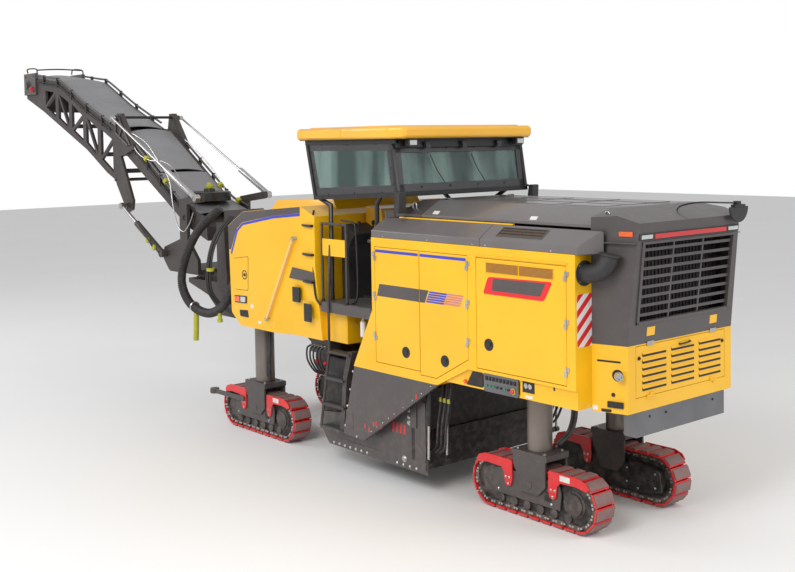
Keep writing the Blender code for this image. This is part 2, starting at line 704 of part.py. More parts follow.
def rear_door(root):
    axis = rear_hinge_axis()
    pivot = Pivot("rear_door_axis", (axis[0], 0.0, axis[1]), root)
    plate = box((REAR_X, REAR_X + LOUVRE_PLATE), (-LOUVRE_Y, LOUVRE_Y), LOUVRE_Z)
    slots = []
    for column in range(3):
        low = -LOUVRE_Y + 0.07 + column * 0.485
        for row in range(6):
            z = LOUVRE_Z[0] + 0.07 + row * 0.07
            slots.append(box((REAR_X - 0.1, REAR_X + 0.1), (low, low + 0.40), (z, z + 0.028)))
    shell = combine([plate], slots)
    solid("rear_door", "yellow", pivot, [shell] + rear_hinge(1, True) + rear_hinge(-1, True))


def rear_bumper(root):
    reach = 0.77
    plate = box((REAR_X, REAR_X + 0.16), (-reach, reach), (1.18, REAR_FOOT_Z - SEAT))
    hollow = box((REAR_X + 0.02, REAR_X + 0.18), (-reach + 0.02, reach - 0.02), (1.10, 1.40))
    solid("rear_bumper", "frame_grey", root, [plate], [hollow])


def intake_elbow(root):
    path = [(BOX_REAR_X - SEAT, 1.11, 2.86), (-3.56, 1.11, 2.86), (-3.65, 1.07, 2.92), (-3.69, 1.03, 3.06)]
    solid("intake_elbow", "black", root, [tube(path, 0.085, 12)])


# ---------------------------------------------------------------- front body and platform
FRONT_OUTLINE = [
    (1.00, 1.62), (2.83, 1.62), (3.07, 1.79), (FRONT_BODY_X, 3.04), (2.72, 3.26), (1.31, 3.38), (1.00, 3.26),
]
SILL_HALF = 1.08         # half the width of the recessed sill under the platform
CREASE_X = (2.07, 1.50)  # foot and head of the crease where each side panel turns inwards
CREASE_Z = (1.50, 2.60)
CREASE_Y = 1.14          # half width at the foot of the turned panel
POCKET_X = 2.12          # ahead of it the side walls are thin


def front_body(root):
    shell = prism("y", FRONT_OUTLINE, -BODY_HALF, BODY_HALF)
    crown = prism("y", [(1.10, 3.20), (1.25, 3.46), (2.60, 3.40), (2.80, 3.20)], -0.75, 0.75)
    room = shrink(FRONT_OUTLINE, PANEL)
    room[0] = (room[0][0], 1.5)
    room[1] = (room[1][0], 1.5)
    thick = CREASE_Y - PANEL
    pocket = [(x, z) for x, z in room if x > POCKET_X] + [(POCKET_X, 3.22), (POCKET_X, 1.5)]
    cuts = [prism("y", room, -thick, thick)]
    for _, side in SIDES:
        cuts.append(prism("y", pocket, side * (thick - 0.01), side * (BODY_HALF - PANEL)))
        low = [(CREASE_X[0], BODY_HALF), (1.62, CREASE_Y), (0.9, CREASE_Y), (0.9, 1.4), (CREASE_X[0], 1.4)]
        edge = BODY_HALF - 0.001
        high = [(CREASE_X[1], BODY_HALF), (1.498, edge), (0.9, edge), (0.9, 1.4), (CREASE_X[1], 1.4)]
        rings = [[(x, side * y, z) for x, y in ring] for ring, z in ((low, CREASE_Z[0]), (high, CREASE_Z[1]))]
        cuts.append(skin(rings))
    sill = box((0.55, 1.02), (-SILL_HALF, SILL_HALF), (1.62, DECK_Z - 0.06))
    reach = SILL_HALF - PANEL
    room_aft = box((0.55 + PANEL, 1.20), (-reach, reach), (1.5, DECK_Z - 0.06 - PANEL))
    reach = BEAM_Y[1] + 0.02
    throat = box((2.9, 3.4), (-reach, reach), (1.2, 2.85))
    slot = box((0.4, 0.7), (-reach, reach), (1.2, BEAM_Z[1] + 0.02))
    solid("front_body", "yellow", root, [shell, crown, sill], cuts + [room_aft, throat, slot])


def platform(root):
    deck = box(DECK_X, (-1.20, 1.20), (DECK_Z - 0.05, DECK_Z))
    adds = [deck]
    for _, side in SIDES:
        adds.append(box((0.05, 0.52), across(side, 0.44, 0.52), (BEAM_Z[1] + SEAT, DECK_Z - 0.04)))
    solid("platform", "black", root, adds)


def operator_station(root):
    floor = DECK_Z + SEAT
    desk = prism("y", [(0.66, 3.02), (0.95, 3.14), (0.95, floor), (0.80, floor), (0.80, 2.86)], -0.85, 0.85)
    adds = [desk, box((0.30, 0.82), (-0.60, -0.54), (floor, floor + 0.03))]
    adds.append(box((0.30, 0.82), (0.54, 0.60), (floor, floor + 0.03)))
    for _, side in SIDES:
        adds.append(box((0.08, 0.34), across(side, 0.50, 0.64), (floor, 2.66)))
        adds.append(box((0.02, 0.42), across(side, 0.38, 0.76), (2.62, 2.74)))
        adds.append(box((0.00, 0.10), across(side, 0.38, 0.76), (2.70, 3.18)))
    solid("operator_station", "black", root, adds)


def ladders(root):
    for name, side in SIDES:
        lean = [(0.98, 0.52), (0.90, 0.83), (0.82, 1.18)]
        inner = side * 1.105
        outer = side * 1.24
        adds = []
        stringer = [(0.50, 0.49), (0.58, 0.49), (0.50, 1.20), (0.40, 1.56), (0.30, 1.56), (0.42, 1.20)]
        adds.append(prism("y", stringer, inner, side * 1.21))
        for x, z in lean:
            adds.append(box((0.47, x), sorted((inner, outer)), (z - 0.03, z)))
        adds.append(box((0.33, 0.78), across(side, 1.105, 1.24), (1.50, 1.53)))
        rail = side * 1.225
        foot = DECK_Z + SEAT
        top = side * 1.18
        climb = [(0.97, rail, 0.50), (0.76, rail, 1.52), (0.76, rail, 2.20), (0.76, top, 2.90)]
        hoop = [(0.93, top, foot), (0.93, top, 3.17), (0.42, top, 3.17), (0.42, top, foot)]
        adds += [tube(climb, 0.018, 8), tube(hoop, 0.018, 8)]
        adds.append(box((0.43, 0.92), across(side, 1.174, 1.186), (2.76, 2.97)))
        solid("ladder_" + name, "frame_grey", root, adds)


# ---------------------------------------------------------------- canopy
RIM = 0.05
SIDE_GLASS = [(1.12, 3.52), (1.28, ROOF_Z[0] - SEAT - RIM), (-0.40, ROOF_Z[0] - SEAT - RIM), (-0.50, 3.60)]
PANE = 0.008


def canopy(root):
    half = CANOPY_HALF
    frame_y = (half - 0.045, half)
    rim = shrink(SIDE_GLASS, -RIM)
    adds = []
    cuts = []
    for _, side in SIDES:
        adds.append(prism("y", rim, side * frame_y[0], side * frame_y[1]))
        cuts.append(prism("y", SIDE_GLASS, side * (half - 0.2), side * (half + 0.2)))
        foot, bend, head = side * 1.05, side * 1.05, side * 1.10
        for post in (
            ((0.90, foot, DECK_Z + SEAT), (0.90, bend, 3.40), (1.10, head, 3.50)),
            ((-0.05, foot, DECK_Z + SEAT), (-0.05, bend, 3.45), (-0.20, head, 3.56)),
        ):
            adds.append(tube(post, 0.03, 8))
    reach = half - 0.01
    for front, z in ((1.11, 3.49), (1.28, 4.15)):
        adds.append(box((front, front + 0.05), (-reach, reach), (z, z + 0.06)))
    for rear, z in ((-0.50, 3.55), (-0.41, 4.15)):
        adds.append(box((rear - 0.05, rear), (-reach, reach), (z, z + 0.06)))
    solid("canopy_frame", "black", root, adds, cuts)
    for name, side in SIDES:
        pane = prism("y", shrink(SIDE_GLASS, SEAT), side * (half - 0.026), side * (half - 0.026 + PANE))
        solid("glass_" + name, "glass", root, [pane])
    rear = [(-0.51, 3.6505), (-0.51 + PANE, 3.6505), (-0.44 + PANE, 4.1495), (-0.44, 4.1495)]
    solid("glass_rear", "glass", root, [prism("y", rear, -half + 0.06, half - 0.06)])
    front = [(1.12, 3.5505), (1.12 + PANE, 3.5505), (1.27 + PANE, 4.1495), (1.27, 4.1495)]
    solid("glass_front", "glass", root, [prism("y", front, -half + 0.06, half - 0.06)])


def canopy_roof(root):
    plan = [
        (-0.66, -1.10), (-0.50, -1.24), (1.36, -1.24), (1.56, -1.10),
        (1.56, 1.10), (1.36, 1.24), (-0.50, 1.24), (-0.66, 1.10),
    ]
    slab = prism("z", plan, ROOF_Z[0], ROOF_Z[1])
    solid("canopy_roof", "amber", root, [slab])


# ---------------------------------------------------------------- conveyors
def primary_conveyor(root):
    low = (1.16, 0.84)
    high = (4.66, 2.98)
    depth = 0.23
    outline = [
        (low[0], low[1] - depth), (high[0], high[1] - depth), (high[0], high[1] + 0.18),
        (high[0] - 0.4, high[1] - 0.02), (low[0], low[1] + depth * 0.7),
    ]
    trough = [
        (low[0] - 0.1, low[1] - depth + 0.05), (high[0] + 0.2, high[1] - depth + 0.17),
        (high[0] + 0.2, high[1] + 0.02), (high[0] - 0.45, high[1] - 0.10), (low[0] - 0.1, low[1] + 0.10),
    ]
    reach = PRIMARY_HALF - 0.02
    body = prism("y", outline, -PRIMARY_HALF + 0.003, PRIMARY_HALF - 0.003)
    hollow = prism("y", trough, -reach, reach)
    lugs = []
    for _, side in SIDES:
        lugs.append(box((4.40, 4.55), across(side, PRIMARY_HALF - 0.015, 0.44 - SEAT), (2.66, 2.78)))
    solid("primary_conveyor", "charcoal", root, [combine([body], [hollow])] + lugs)


def conveyor_mount(root):
    adds = []
    for _, side in SIDES:
        post = [(4.30, 1.90 + SEAT), (4.60, 1.90 + SEAT), (4.60, 2.98), (4.38, 2.98)]
        adds.append(prism("y", post, side * 0.44, side * 0.56))
        arm = [
            (4.32, 1.92), (4.50, 2.01), (5.62, 2.01), (5.62, 1.94),
            (5.0, 1.78), (4.62, 1.50), (4.6005, 1.50), (4.6005, 1.92),
        ]
        adds.append(prism("y", arm, side * 0.30, side * 0.50))
    adds.append(prism("z", circle(0.44, 24, (SLEW_X, 0.0)), 1.94, 2.02))
    adds.append(box((4.36, 4.60), (-0.50, 0.50), (1.92, 2.10)))
    solid("conveyor_mount", "frame_grey", root, adds)


def swivel(root):
    pivot = Pivot("slew_axis", (SLEW_X, 0.0, 2.02), root)
    disc = prism("z", circle(0.40, 24, (SLEW_X, 0.0)), 2.02 + SEAT, 2.12)
    adds = [disc, box((5.10, 6.05), (-0.61, 0.61), (2.10, 2.18))]
    for _, side in SIDES:
        cheek = [
            (5.10, 2.12), (5.10, 2.34), (5.42, 2.66), (5.42, 3.24), (4.92, 3.30), (4.92, 3.42),
            (5.66, 3.32), (5.66, 2.66), (6.20, 2.50), (6.24, 2.30), (6.06, 2.12),
        ]
        adds.append(prism("y", cheek, side * CHEEK_Y[0], side * CHEEK_Y[1]))
        for foot in (RAM_FOOT, STAY_FOOT):
            pin = circle(0.05, 12, foot)
            adds.append(prism("y", pin, side * CHEEK_Y[0], side * (RAM_Y - EYE_REACH - SEAT)))
    cuts = [prism("y", circle(bore_radius(PIN_RADIUS, 12), 12, (LIFT_X, LIFT_Z), 0.0), -0.8, 0.8)]
    solid("swivel", "frame_grey", pivot, adds, cuts)
    return pivot


LOWER_TOP = [(5.00, 3.02), (5.85, 3.26), (7.80, 4.47), (8.03, 4.52)]
LOWER_BOTTOM = [(8.03, 4.05), (7.86, 4.12), (5.60, 2.86), (4.97, 2.66)]


def lower_boom(slew):
    pivot = Pivot("lift_axis", (LIFT_X, 0.0, LIFT_Z), slew)
    outline = LOWER_TOP + LOWER_BOTTOM
    beam = prism("y", outline, -BOOM_HALF, BOOM_HALF)
    trough = [(x, z - 0.14) for x, z in LOWER_TOP]
    trough[0] = (4.9, 2.86)
    trough[-1] = (8.20, 4.42)
    trough += [(8.2, 5.2), (4.9, 4.0)]
    adds = [beam]
    for _, side in SIDES:
        knee = [(7.86, 4.10), (8.03, 4.10), (8.03, 3.54), (7.62, 3.02), (7.44, 3.08), (7.40, 3.24)]
        adds.append(prism("y", knee, side * 0.52, side * 0.57))
        peak = [(7.30, 4.16), (7.80, 4.80), (7.94, 4.80), (8.03, 4.40), (8.03, 4.02), (7.86, 4.02)]
        adds.append(prism("y", peak, side * 0.49, side * 0.57))
        for place in (RAM_HEAD, STAY_HEAD):
            adds.append(prism("y", circle(0.05, 12, place), side * 0.53, side * (RAM_Y - EYE_REACH - SEAT)))
    adds.append(prism("y", circle(PIN_RADIUS, 12, (LIFT_X, LIFT_Z)), -0.60, 0.60))
    adds.append(box((7.92, 8.02), (-0.56, 0.56), (3.72, 3.80)))
    cuts = [prism("y", trough, -BOOM_HALF + 0.05, BOOM_HALF - 0.05)]
    cuts.append(prism("y", circle(bore_radius(FOLD_PIN, 12), 12, (FOLD_X, FOLD_Z), 0.0), -0.8, 0.8))
    solid("lower_boom", "frame_grey", pivot, adds, cuts)
    return pivot


UPPER_TOP = [(8.07, 4.50), (9.40, 5.00), (10.50, 5.50), (11.60, 5.64), (TIP_X, 5.71)]
UPPER_BOTTOM = [(12.17, 5.23), (11.31, 4.93), (9.35, 4.15), (8.52, 3.72), (8.10, 3.56)]


def line_height(points, x):
    """Height at x of a line through points whose x rises or falls all along."""
    points = sorted(points)
    for (x0, z0), (x1, z1) in zip(points, points[1:]):
        if x0 <= x <= x1:
            return z0 + (z1 - z0) * (x - x0) / (x1 - x0)
    return points[0][1] if x < points[0][0] else points[-1][1]


def upper_boom(lower):
    pivot = Pivot("fold_axis", (FOLD_X, 0.0, FOLD_Z), lower)
    outline = UPPER_TOP + UPPER_BOTTOM
    adds = [prism("y", outline, -BOOM_HALF, BOOM_HALF)]
    inner_half = BOOM_HALF - 0.05
    top_trough = [(x, z - 0.12) for x, z in UPPER_TOP]
    top_trough[0] = (7.9, top_trough[0][1])
    top_trough[-1] = (12.5, top_trough[-1][1])
    cuts = [prism("y", top_trough + [(12.5, 6.5), (7.9, 6.5)], -inner_half, inner_half)]
    belly = [
        (7.9, 4.22), (9.40, 4.76), (10.50, 5.26), (11.50, 5.40),
        (11.30, 5.0), (11.2, 4.6), (9.35, 3.8), (7.9, 3.2),
    ]
    cuts.append(prism("y", belly, -inner_half, inner_half))
    posts = [8.20 + 0.62 * i for i in range(6)]
    for index, (left, right) in enumerate(zip(posts, posts[1:])):
        low_left = line_height(UPPER_BOTTOM, left) + 0.09
        low_right = line_height(UPPER_BOTTOM, right) + 0.09
        high_left = line_height(UPPER_TOP, left) - 0.20
        high_right = line_height(UPPER_TOP, right) - 0.20
        a, b = (left + 0.04, low_left), (right - 0.04, low_right)
        c, d = (right - 0.04, high_right), (left + 0.04, high_left)
        if index % 2:
            halves = ([a, b, c], [a, c, d])
        else:
            halves = ([a, b, d], [b, c, d])
        for half in halves:
            cuts.append(prism("y", shrink(half, 0.03), -0.8, 0.8))
    adds.append(box((9.0, 9.06), (-0.48, 0.48), (4.02, 4.10)))
    adds.append(box((10.4, 10.46), (-0.48, 0.48), (4.58, 4.66)))
    frame = combine(adds[:1], cuts)
    lugs = []
    for _, side in SIDES:
        lug = [(8.02, 3.54), (8.02, 3.66), (8.13, 3.76), (8.20, 3.62), (8.10, 3.52)]
        lugs.append(prism("y", lug, side * 0.44, side * (0.52 - RUN)))
    pin = prism("y", circle(FOLD_PIN, 12, (FOLD_X, FOLD_Z)), -0.58, 0.58)
    solid("upper_boom", "frame_grey", pivot, [frame] + adds[1:] + lugs + [pin])
    return pivot


def bar_with_ends(foot, head, y, start, end, radius):
    """Two points between foot and head in the x-z plane, at shares start and end."""
    run = Vector((head[0] - foot[0], 0.0, head[1] - foot[1]))
    base = Vector((foot[0], y, foot[1]))
    return tube([base + run * start, base + run * end], radius, 12)


def rams(slew):
    barrel_pivot = Pivot("ram_axis", (RAM_FOOT[0], 0.0, RAM_FOOT[1]), slew)
    rod_pivot = Pivot("ram_rod_axis", (RAM_HEAD[0], 0.0, RAM_HEAD[1]), barrel_pivot)
    for name, side in SIDES:
        y = side * RAM_Y
        barrel = bar_with_ends(RAM_FOOT, RAM_HEAD, y, 0.03, 0.62, 0.055)
        eye = prism("y", circle(0.07, 12, RAM_FOOT), side * (RAM_Y - EYE_REACH), side * (RAM_Y + 0.04))
        bore = bar_with_ends(RAM_FOOT, RAM_HEAD, y, 0.10, 0.80, 0.030 + 0.0008)
        solid("ram_barrel_" + name, "frame_grey", barrel_pivot, [barrel, eye], [bore])
        rod = bar_with_ends(RAM_FOOT, RAM_HEAD, y, 0.36, 0.99, 0.030)
        head = prism("y", circle(0.06, 12, RAM_HEAD), side * (RAM_Y - EYE_REACH), side * (RAM_Y + 0.04))
        solid("ram_rod_" + name, "steel", rod_pivot, [rod, head])


def stays(slew):
    pivot = Pivot("stay_axis", (STAY_FOOT[0], 0.0, STAY_FOOT[1]), slew)
    for name, side in SIDES:
        y = side * RAM_Y
        barrel = bar_with_ends(STAY_FOOT, STAY_HEAD, y, 0.01, 0.30, 0.045)
        cable = bar_with_ends(STAY_FOOT, STAY_HEAD, y, 0.28, 0.99, 0.018)
        eye = prism("y", circle(0.06, 12, STAY_FOOT), side * (RAM_Y - EYE_REACH), side * (RAM_Y + 0.03))
        head = prism("y", circle(0.04, 12, STAY_HEAD), side * (RAM_Y - EYE_REACH), side * (RAM_Y + 0.02))
        solid("stay_" + name, "steel", pivot, [barrel, cable, eye, head])


def main():
    clear_scene()
    root = Pivot("machine", (0.0, 0.0, 0.0))
    main_frame(root)
    engine_block(root)
    drum_housing(root)
    milling_drum(root)
    side_plates(root)
    scraper(root)
    skirts(root)
    undercarriage(root)
    side_boxes(root)
    doors(root)
    side_covers(root)
    hood(root)
    rear_body(root)
    rear_door(root)
    rear_bumper(root)
    intake_elbow(root)
    front_body(root)
    platform(root)
    operator_station(root)
    ladders(root)
    canopy(root)
    canopy_roof(root)
    primary_conveyor(root)
    conveyor_mount(root)
    slew = swivel(root)
    lower = lower_boom(slew)
    upper_boom(lower)
    rams(slew)
    stays(slew)


main()
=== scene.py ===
"""Looks of the cold planer: paint, decals, lamps, hoses and fittings on the CAD bodies.

Every size is in metres. Shapes are laid out in the same station frame as the CAD source:
x runs forward from 0.05 m behind the drum's axis, +Y is the machine's left and z is up.
"""

import json
import math

import bmesh
import bpy
from mathutils import Matrix, Vector

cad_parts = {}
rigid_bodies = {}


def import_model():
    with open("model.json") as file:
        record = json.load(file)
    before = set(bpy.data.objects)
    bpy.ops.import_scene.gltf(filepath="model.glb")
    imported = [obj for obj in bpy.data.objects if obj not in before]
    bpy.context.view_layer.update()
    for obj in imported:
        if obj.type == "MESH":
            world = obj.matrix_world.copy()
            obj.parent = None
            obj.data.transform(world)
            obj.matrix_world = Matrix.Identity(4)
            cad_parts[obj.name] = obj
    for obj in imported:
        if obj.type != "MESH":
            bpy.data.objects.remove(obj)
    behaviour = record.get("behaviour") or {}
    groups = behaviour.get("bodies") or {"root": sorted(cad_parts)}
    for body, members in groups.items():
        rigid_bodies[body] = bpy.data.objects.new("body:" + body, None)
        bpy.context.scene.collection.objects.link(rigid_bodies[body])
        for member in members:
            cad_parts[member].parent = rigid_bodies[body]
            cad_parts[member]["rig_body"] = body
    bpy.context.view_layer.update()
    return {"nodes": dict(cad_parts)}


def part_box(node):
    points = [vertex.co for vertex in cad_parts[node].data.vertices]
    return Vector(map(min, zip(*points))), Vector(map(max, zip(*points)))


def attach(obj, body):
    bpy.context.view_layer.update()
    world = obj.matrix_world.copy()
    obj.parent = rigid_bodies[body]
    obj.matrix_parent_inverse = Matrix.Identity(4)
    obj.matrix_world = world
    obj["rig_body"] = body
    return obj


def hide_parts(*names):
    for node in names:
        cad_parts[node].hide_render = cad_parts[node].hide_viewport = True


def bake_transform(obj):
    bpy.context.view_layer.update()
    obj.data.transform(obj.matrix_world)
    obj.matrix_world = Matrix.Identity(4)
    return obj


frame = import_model()
DRUM_LOW, DRUM_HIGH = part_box("milling_drum")
STATION_X = (DRUM_LOW.x + DRUM_HIGH.x) / 2 - 0.05
STATION = Matrix.Translation((STATION_X, 0.0, 0.0))
SIDES = (("left", 1), ("right", -1))
DECAL = 0.0015           # how far a decal or a label stands off its panel


# ---------------------------------------------------------------- shapes
def across(side, low, high):
    """A span in y on the machine's left (side 1) or right (side -1)."""
    return tuple(sorted((side * low, side * high)))


def circle(radius, sides, centre=(0.0, 0.0)):
    step = 2 * math.pi / sides
    return [
        (centre[0] + radius * math.cos(i * step), centre[1] + radius * math.sin(i * step))
        for i in range(sides)
    ]


def rounded(outline, radius, steps=4):
    """Round each corner of a convex outline with a short arc."""
    result = []
    count = len(outline)
    for i in range(count):
        corner = Vector(outline[i])
        start = corner + (Vector(outline[i - 1]) - corner).normalized() * radius
        end = corner + (Vector(outline[(i + 1) % count]) - corner).normalized() * radius
        for k in range(steps + 1):
            t = k / steps
            point = start * (1 - t) ** 2 + corner * 2 * t * (1 - t) + end * t**2
            result.append(tuple(point))
    return result


def slab_clip(outline, normal, low, high):
    """The part of a convex outline whose distance along a direction is between low and high."""
    for sign, limit in ((1, low), (-1, -high)):
        kept = []
        for i, here in enumerate(outline):
            back = outline[i - 1]
            a = sign * (back[0] * normal[0] + back[1] * normal[1]) - limit
            b = sign * (here[0] * normal[0] + here[1] * normal[1]) - limit
            if (a < 0) != (b < 0):
                t = a / (a - b)
                kept.append((back[0] + t * (here[0] - back[0]), back[1] + t * (here[1] - back[1])))
            if b >= 0:
                kept.append(here)
        outline = kept
        if not outline:
            return []
    return outline


def smooth_path(points, steps=8):
    """Points on a smooth curve through the given points."""
    points = [Vector(p) for p in points]
    padded = [points[0] * 2 - points[1]] + points + [points[-1] * 2 - points[-2]]
    result = []
    for a, b, c, d in zip(padded, padded[1:], padded[2:], padded[3:]):
        for k in range(steps):
            t = k / steps
            result.append(
                0.5 * (
                    2 * b + (c - a) * t + (
                        2 * a - 5 * b + 4 * c - d
                    ) * t**2 + (3 * b - a - 3 * c + d) * t**3
                )
            )
    return result + [points[-1]]


class Shape:
    """Closed parts gathered into one mesh, in station metres."""

    def __init__(self):
        self.bm = bmesh.new()

    def loft(self, rings):
        """Skin rings that have as many points each, and close both ends."""
        rows = [[self.bm.verts.new(point) for point in ring] for ring in rings]
        count = len(rows[0])
        for near, far in zip(rows, rows[1:]):
            for i in range(count):
                j = (i + 1) % count
                self.bm.faces.new((near[i], far[i], far[j], near[j]))
        self.bm.faces.new(rows[0])
        self.bm.faces.new(rows[-1][::-1])
        return self

    def prism(self, axis, outline, low, high):
        """Extrude an outline, given as (y, z), (x, z) or (x, y), along x, y or z."""
        place = {
            "x": lambda a, b, d: (d, a, b),
            "y": lambda a, b, d: (a, d, b),
            "z": lambda a, b, d: (a, b, d),
        }[axis]
        return self.loft([[place(a, b, d) for a, b in outline] for d in (low, high)])

    def box(self, x, y, z):
        return self.prism("z", ((x[0], y[0]), (x[1], y[0]), (x[1], y[1]), (x[0], y[1])), z[0], z[1])

    def turned(self, start, end, profile, sides=20):
        """Rings of (distance from start, radius) round the line from start to end."""
        start, end = Vector(start), Vector(end)
        along = (end - start).normalized()
        side = along.orthogonal().normalized()
        other = along.cross(side)
        rings = []
        for distance, radius in profile:
            centre = start + along * distance
            rings.append([centre + side * a + other * b for a, b in circle(radius, sides)])
        return self.loft(rings)

    def rod(self, start, end, radius, sides=16):
        length = (Vector(end) - Vector(start)).length
        return self.turned(start, end, ((0.0, radius), (length, radius)), sides)

    def bolt(self, centre, facing, radius=0.012, height=0.010):
        """A hexagon head on its washer, standing on a surface that faces the given way."""
        centre = Vector(centre)
        facing = Vector(facing)
        self.turned(centre, centre + facing, ((0.0, radius * 1.5), (height * 0.3, radius * 1.5)), 16)
        low = centre + facing * height * 0.3
        self.turned(low, low + facing, ((0.0, radius), (height * 0.8, radius), (height, radius * 0.8)), 6)
        return self

    def pipe(self, points, radius, sides=12, smooth=8, rib=0.0, pitch=0.03):
        """A hose or a bent tube along a smooth curve; rib is the height of its rings."""
        path = smooth_path(points, smooth) if smooth else [Vector(p) for p in points]
        if rib:
            path = even_path(path, pitch / 4)
        side = (path[1] - path[0]).normalized().orthogonal().normalized()
        rings = []
        for i, point in enumerate(path):
            before = (point - path[i - 1]).normalized() if i else (path[1] - point).normalized()
            after = (path[i + 1] - point).normalized() if i + 1 < len(path) else before
            along = (before + after).normalized()
            side = (side - along * side.dot(along)).normalized()
            other = along.cross(side)
            swell = radius + (rib if i % 4 < 2 else 0.0)
            rings.append([point + side * a + other * b for a, b in circle(swell, sides)])
        return self.loft(rings)


def even_path(path, step):
    """The same path with points an even step apart."""
    result = [path[0]]
    spare = 0.0
    for a, b in zip(path, path[1:]):
        run = (b - a).length
        travel = step - spare
        while travel < run:
            result.append(a.lerp(b, travel / run))
            travel += step
        spare = run - (travel - step)
    return result + [path[-1]]


def finish(name, mesh, body, look, bevel, slot, segments=2):
    """Make a mesh a piece of the model: its looks, rounded edges and the body it rides on."""
    mesh.materials.clear()
    mesh.materials.append(look)
    mesh.polygons.foreach_set("use_smooth", [True] * len(mesh.polygons))
    mesh.set_sharp_from_angle(angle=math.radians(38))
    piece = bpy.data.objects.new(name, mesh)
    bpy.context.scene.collection.objects.link(piece)
    if bevel:
        modifier = piece.modifiers.new("edges", "BEVEL")
        modifier.width = bevel
        modifier.segments = segments
        modifier.limit_method = "ANGLE"
        modifier.angle_limit = math.radians(38)
        modifier.harden_normals = True
        modifier.use_clamp_overlap = True
    if isinstance(body, str):
        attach(piece, body)
    else:
        low, high = (STATION @ Vector(point) for point in body[2:])
        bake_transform(piece)
        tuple(low)
        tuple(high)
    return piece


def place(name, shape, body, look, bevel=0.002, slot=None):
    """Turn a station-frame shape into a piece on a body."""
    bm = shape.bm
    bmesh.ops.recalc_face_normals(bm, faces=bm.faces[:])
    mesh = bpy.data.meshes.new(name)
    bm.to_mesh(mesh)
    bm.free()
    mesh.transform(STATION)
    return finish(name, mesh, body, look, bevel, slot)


def dress(node, look, bevel=0.004, slot=None, name=None):
    """A finer copy of a CAD node, with rounded edges, that stands for it."""
    source = frame["nodes"][node]
    bm = bmesh.new()
    bm.from_mesh(source.data)
    bmesh.ops.remove_doubles(bm, verts=bm.verts[:], dist=1e-5)
    bmesh.ops.dissolve_limit(bm, angle_limit=math.radians(0.5), verts=bm.verts[:], edges=bm.edges[:])
    mesh = bpy.data.meshes.new(node + "_skin")
    bm.to_mesh(mesh)
    bm.free()
    piece = finish(name or node + "_skin", mesh, source["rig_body"], look, bevel, slot)
    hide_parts(node)
    return piece


# ---------------------------------------------------------------- materials
class Graph:
    """Shorthand for building one material's nodes."""

    def __init__(self, name):
        self.material = bpy.data.materials.new(name)
        self.material.use_nodes = True
        self.tree = self.material.node_tree
        self.shader = self.tree.nodes["Principled BSDF"]
        self.coords = self.add("ShaderNodeTexCoord").outputs["Object"]

    def add(self, kind, **inputs):
        node = self.tree.nodes.new(kind)
        for key, value in inputs.items():
            self.feed(node.inputs[key.replace("_", " ")], value)
        return node

    def feed(self, socket, value):
        if isinstance(value, bpy.types.NodeSocket):
            self.tree.links.new(value, socket)
        else:
            socket.default_value = value

    def math(self, operation, a, b=0.0, clamp=False):
        node = self.tree.nodes.new("ShaderNodeMath")
        node.operation = operation
        node.use_clamp = clamp
        self.feed(node.inputs[0], a)
        self.feed(node.inputs[1], b)
        return node.outputs[0]

    def noise(self, scale, detail=4.0, stretch=None):
        coords = self.coords
        if stretch:
            coords = self.add("ShaderNodeMapping", Vector=coords, Scale=stretch).outputs[0]
        return self.add("ShaderNodeTexNoise", Vector=coords, Scale=scale, Detail=detail).outputs[0]

    def ramp(self, value, low, high):
        """0 below low, 1 above high, and straight between them."""
        node = self.add("ShaderNodeMapRange", Value=value, From_Min=low, From_Max=high)
        return node.outputs[0]

    def mix(self, factor, a, b):
        node = self.tree.nodes.new("ShaderNodeMix")
        node.data_type = "RGBA"
        self.feed(node.inputs[0], factor)
        for socket, value in ((node.inputs[6], a), (node.inputs[7], b)):
            self.feed(socket, (*value, 1.0) if isinstance(value, tuple) else value)
        return node.outputs[2]

    def edges(self, radius):
        """How much a point lies on a rounded edge, from the turn of its normal."""
        normal = self.add("ShaderNodeNewGeometry").outputs["Normal"]
        bevel = self.add("ShaderNodeBevel", Radius=radius)
        bevel.samples = 4
        turn = self.tree.nodes.new("ShaderNodeVectorMath")
        turn.operation = "DOT_PRODUCT"
        self.feed(turn.inputs[0], normal)
        self.feed(turn.inputs[1], bevel.outputs[0])
        return self.ramp(turn.outputs["Value"], 0.985, 0.90)


